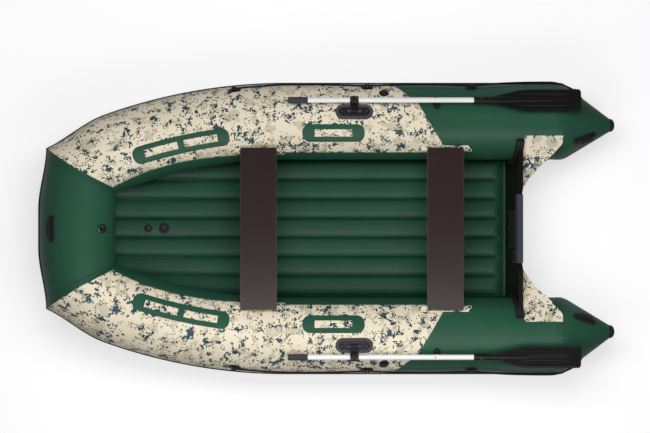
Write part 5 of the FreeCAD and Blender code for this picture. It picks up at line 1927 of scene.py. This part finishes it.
@dataclass
class Handles:
    """Moulded carry handles: a pad and an arched bar with a soft sleeve."""

    length: float = 0.150
    width: float = 0.042
    rise: float = 0.0375
    reach: float = 0.0605
    bed: float = 0.002

    def handle(self, name: str, local: Local, node: str) -> None:
        """Builds one handle.

        Args:
            name: Piece name.
            local: Frame at its foot.
            node: Node that it replaces.
        """
        pad = Pad(self.length, self.width, 0.020, 0.0065, 0.004, 0.0012, 0.006, 0.002, 61, 31, 0.005)
        dress(pad.flat(f"{name}_pad", local), MOULDED, node)
        turn = np.linspace(-np.pi / 2.0, np.pi / 2.0, 61)
        high = (self.rise - 0.0082) * np.cos(turn).clip(0.0) ** 0.42
        along = (self.reach - 0.009) * signed_power(np.sin(turn), 0.9)
        sleeve = 1.0 - smooth_step(0.030, 0.040, np.abs(along))
        size = np.stack([0.020 + 0.006 * sleeve, 0.0118 + 0.0035 * sleeve], -1)
        section = size[:, None] * oval(1.0, 1.0, 28, 3.0)
        dress(Surface.tube(f"{name}_bar", sweep(local.at(along, 0.0, high), section, local.out)), MOULDED)

    def build(self) -> None:
        """Builds the bow handle and both cone handles."""
        roll = math.radians(38.6)
        out = np.array([math.sin(roll), 0.0, math.cos(roll)])
        middle = np.array([HULL.bow_x, 0.0, HULL.axis_z + HULL.bow_rise])
        foot = Local(tuple(middle + out * (HULL.tube_r - self.bed)), (0.0, 1.0, 0.0), tuple(out))
        self.handle("bow_grip", foot, "bow_handle")
        roll = math.radians(38.0)
        here, radius = HULL.cone_line(np.asarray(0.48))
        after, tip = HULL.cone_line(np.asarray(1.0))
        radial = np.array([0.0, -math.sin(roll), math.cos(roll)])
        foot_point = here + radial * float(radius)
        along = unit(after + radial * float(tip) - foot_point)
        out = np.cross(along, unit(np.cross(radial, along)))
        local = Local(tuple(foot_point - out * self.bed), tuple(along), tuple(out))
        for side in Side:
            self.handle(f"cone_grip_{side.tag}", flip(local, side), f"cone_handle_{side.tag}")


@dataclass
class Valves:
    """Screw valves: a flange, a ribbed collar, a sunken cap and a turning bar."""

    side_x: float = -0.312
    side_roll: float = math.radians(47.0)
    radius: float = 0.027

    def valve(self, name: str, local: Local, radius: float, *nodes: str) -> None:
        """Builds one valve.

        Args:
            name: Piece name.
            local: Frame at its foot.
            radius: Radius of its flange.
            nodes: Nodes that it replaces.
        """
        flange = [(-0.002, radius), (0.0018, radius), (0.0028, radius - 0.0012), (0.0032, radius * 0.72)]
        body = revolved(f"{name}_flange", local, [*flange, (0.0034, 0.0004)], 56)
        dress(body, MOULDED, *nodes)
        cap = radius * 0.74
        profile = [
            (0.001, cap), (0.0088, cap), (0.0112, cap - 0.0010), (0.0116, cap - 0.0032),
            (0.0100, cap - 0.0046), (0.0086, cap - 0.0060), (0.0082, 0.0004),
        ]
        piece = revolved(f"{name}_cap", local, profile, 144, 24, 0.0011)
        dress(piece, MOULDED)
        bar = Pad(cap * 1.5, 0.0062, 0.0030, 0.0030, 0.0015, rows=25, columns=9)
        dress(bar.flat(f"{name}_bar", local.turned(0.0, 0.0, 0.0080)), MOULDED)
        hub = revolved(f"{name}_hub", local.turned(0.0, 0.0, 0.0078), domed(0.0040, 0.0055, 0.0012), 24)
        dress(hub, VALVE_GREY)

    def build(self) -> None:
        """Builds the side valves and the two on the floor's middle rib."""
        for side in Side:
            local = flip(on_tube(self.side_x, self.side_roll, 0.001), side)
            self.valve(f"chamber_valve_{side.tag}", local, self.radius, f"side_valve_{side.tag}")
        for name, aft, radius in (("floor_valve", 0.470, 0.030), ("floor_drain", 0.382, 0.023)):
            x = HULL.bow_x - aft
            slope = float(HULL.slope(np.asarray(x)))
            cos, sin = 1.0 / math.hypot(1.0, slope), slope / math.hypot(1.0, slope)
            high = float(FloorMat().height(np.asarray(x), np.asarray(0.0)))
            local = Local((x, 0.0, high + 0.0006), (cos, 0.0, sin), (-sin, 0.0, cos))
            self.valve(name, local, radius, *(["floor_valves"] if name == "floor_valve" else []))


@dataclass
class TransomTrim:
    """Small pieces on the transom: screws, and the port plate beside the clamp pad."""

    foot_x: float = -1.004
    foot_z: float = 0.048
    lean: float = math.radians(9.0)
    thick: float = 0.025

    def face(self, y: float, up: float, aft: bool = False) -> Local:
        """Frame on the board's fore or aft face, along Y, at a distance up the face."""
        along_up = np.array([-math.sin(self.lean), 0.0, math.cos(self.lean)])
        out = np.array([math.cos(self.lean), 0.0, math.sin(self.lean)])
        point = np.array([self.foot_x, y, self.foot_z]) + along_up * up
        if aft:
            point, out = point - out * self.thick, -out
        return Local(tuple(point), (0.0, 1.0, 0.0), tuple(out))

    def build(self) -> None:
        """Builds the plate and the screws."""
        plate = Pad(0.078, 0.080, 0.008, 0.004, 0.002, rows=31, columns=31, bed=0.0)
        dress(plate.flat("side_plate", self.face(0.156, 0.225)), MOULDED)
        spots = [(y, up, 0.004) for y in (0.126, 0.186) for up in (0.196, 0.254)]
        spots += [(y, up, 0.0063) for y in (-0.094, 0.0, 0.094) for up in (0.121, 0.264)]
        for k, (y, up, off) in enumerate(spots):
            place = self.face(y, up).turned(0.0, 0.0, off)
            dress(revolved(f"transom_screw_{k}", place, domed(0.0022, 0.0042, 0.0012), 18), STEEL)
        for k, (y, up) in enumerate((y, up) for y in (-0.12, -0.04, 0.04, 0.12) for up in (0.098, 0.258)):
            place = self.face(y, up, True).turned(0.0, 0.0, 0.0083)
            dress(revolved(f"motor_bolt_{k}", place, domed(0.0035, 0.0058, 0.0016), 18), STEEL)


@dataclass
class BowRing:
    """Towing ring on its round pad, on the inner side of the bow tube's top."""

    roll: float = math.radians(44.0)
    pad_r: float = 0.026
    pad_t: float = 0.005
    foot: float = 0.009
    ring_r: float = 0.017
    bar: float = 0.0025

    def build(self) -> None:
        """Builds the pad, the eye and the ring."""
        out = np.array([-math.sin(self.roll), 0.0, math.cos(self.roll)])
        middle = np.array([HULL.bow_x, 0.0, HULL.axis_z + HULL.bow_rise])
        local = Local(tuple(middle + out * HULL.tube_r), (0.0, 1.0, 0.0), tuple(out))
        pad = revolved("tow_pad", local, domed(self.pad_t, self.pad_r, 0.002, -0.002), 48)
        dress(pad, MOULDED, "bow_ring")
        bend = np.linspace(-0.5 * np.pi, 0.5 * np.pi, 21)
        arch = local.at(0.0, 0.0075 * np.sin(bend), 0.003 + 0.0105 * np.cos(bend))
        eye = Surface.tube("tow_eye", sweep(arch, oval(0.018, 0.0045, 16, 3.0), local.along))
        dress(eye, MOULDED)
        turn = np.linspace(0.0, 2.0 * np.pi, 49)[:-1, None]
        section = np.linspace(0.0, 2.0 * np.pi, 17)[None, :-1]
        far = self.ring_r + self.bar * np.cos(section)
        high = self.foot + self.bar * np.sin(section)
        grid = local.at(far * np.sin(turn), -self.ring_r + far * np.cos(turn), high)
        dress(Surface.loop("tow_ring", grid), STEEL)


def dress_nodes() -> None:
    """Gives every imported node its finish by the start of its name."""
    finishes = {
        "strake": STRAKE, "skid_tape": TAPE, "keel_tape": TAPE, "transom_board": TRANSOM_PLY,
        "transom_holder": MOULDED, "transom_cap": GREY, "motor_plate": GREY, "clamp_pad": MOULDED,
        "transom_knee": GREEN, "seat_rails": MOULDED, "seat_cleats": GREY, "seat_fore": PLYWOOD,
        "seat_aft": PLYWOOD, "oarlock": MOULDED, "hinge_pin": STEEL, "oar_collar": MOULDED,
        "oar_shaft": ALUMINIUM, "oar_grip": GRIP_BLACK, "oar_blade": BLADE_BLACK,
        "oar_cradle": MOULDED, "lifeline_holders": MOULDED, "lifeline": ROPE, "fabric_frames": GREEN,
        "cone_handle": MOULDED, "bow_handle": MOULDED, "bow_ring": STEEL, "side_valve": MOULDED,
        "floor_valves": MOULDED, "cone_cap": MOULDED, "side_tube": GREEN, "bow_tube": GREEN,
        "stern_cone": GREEN, "floor_mat": FLOOR_GREEN,
    }
    for name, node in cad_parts.items():
        finish = next(value for start, value in finishes.items() if name.startswith(start))
        node.data.materials.clear()
        node.data.materials.append(finish.material())


@dataclass
class Studio:
    """Pale floor, soft lights and the camera over the boat."""

    pixel: float = 0.005585
    wide: int = 650
    middle_x: float = 0.014
    middle_y: float = -0.067
    lens: float = 180.0
    world: float = 0.13
    ground_shade: float = 0.5
    lift: float = 0.6

    def ground(self) -> None:
        """Pale floor that shows white to the camera and keeps the shadow."""
        size = 30.0
        points = np.array([[-size, -size, 0.0], [size, -size, 0.0], [size, size, 0.0], [-size, size, 0.0]])
        floor = Surface.add("studio_floor", points, [[0, 1, 2, 3]], smooth=False)
        made = bpy.data.materials.new("studio_floor")
        made.use_nodes = True
        build = Nodes(made.node_tree)
        shader = made.node_tree.nodes["Principled BSDF"]
        shader.inputs["Base Color"].default_value = (self.ground_shade,) * 3 + (1.0,)
        shader.inputs["Roughness"].default_value = 0.9
        shader.inputs["Specular IOR Level"].default_value = 0.0
        shader.inputs["Emission Color"].default_value = (1.0, 1.0, 1.0, 1.0)
        seen = build.add("ShaderNodeLightPath").outputs["Is Camera Ray"]
        made.node_tree.links.new(build.math("MULTIPLY", seen, self.lift), shader.inputs["Emission Strength"])
        floor.data.materials.append(made)

    def lamp(self, name: str, place: tuple[float, float, float], aim: tuple[float, float],
             long: float, wide: float, power: float, mirrors: bool) -> None:
        """Soft oblong lamp with its long side along the boat.

        Args:
            name: Object name.
            place: Where it stands.
            aim: Y and Z that it points at.
            long: Its length along X.
            wide: Its width.
            power: Watts.
            mirrors: Whether it shows in glossy surfaces.
        """
        light = bpy.data.lights.new(name, "AREA")
        light.energy = power
        light.shape = "RECTANGLE"
        light.size = long
        light.size_y = wide
        thing = bpy.data.objects.new(name, light)
        bpy.context.scene.collection.objects.link(thing)
        thing.location = place
        thing.rotation_euler = (math.atan2(aim[0] - place[1], place[2] - aim[1]), 0.0, 0.0)
        thing.visible_camera = False
        thing.visible_glossy = mirrors

    def camera(self) -> None:
        """Camera straight above, with the bow at the picture's left."""
        data = bpy.data.cameras.new("camera")
        data.lens = self.lens
        data.sensor_width = 36.0
        reach = self.pixel * self.wide * self.lens / data.sensor_width
        thing = bpy.data.objects.new("camera", data)
        bpy.context.scene.collection.objects.link(thing)
        thing.location = (self.middle_x, self.middle_y, HULL.axis_z + reach)
        thing.rotation_euler = (0.0, 0.0, math.pi)
        data.clip_end = 200.0
        bpy.context.scene.camera = thing

    def build(self) -> None:
        """Builds the studio."""
        self.ground()
        self.camera()
        self.lamp("key_lamp", (0.1, -1.7, 5.8), (0.0, 0.3), 5.0, 2.4, 222.0, False)
        self.lamp("port_lamp", (-0.1, 1.3, 2.3), (0.85, 0.0), 3.6, 1.5, 30.0, True)
        world = bpy.data.worlds.new("world")
        bpy.context.scene.world = world
        world.use_nodes = True
        world.node_tree.nodes["Background"].inputs[0].default_value = (1.0, 1.0, 1.0, 1.0)
        world.node_tree.nodes["Background"].inputs[1].default_value = self.world
        bpy.context.scene.view_settings.view_transform = "Standard"


def main() -> None:
    """Dresses the boat."""
    logging.basicConfig(level=logging.INFO, format="%(message)s")
    Studio().build()
    dress_nodes()
    for assembly in (
        Lifelines(), AirTubes(), ConeCaps(), CamoPanels(), FloorMat(), Strakes(), CarryFrames(), Knees(),
        SeatRails(), SeatPlanks(), Oars(), Oarlocks(), Handles(), Valves(), BowRing(), TransomTrim(),
    ):
        assembly.build()


if __name__ == "__main__":
    main()
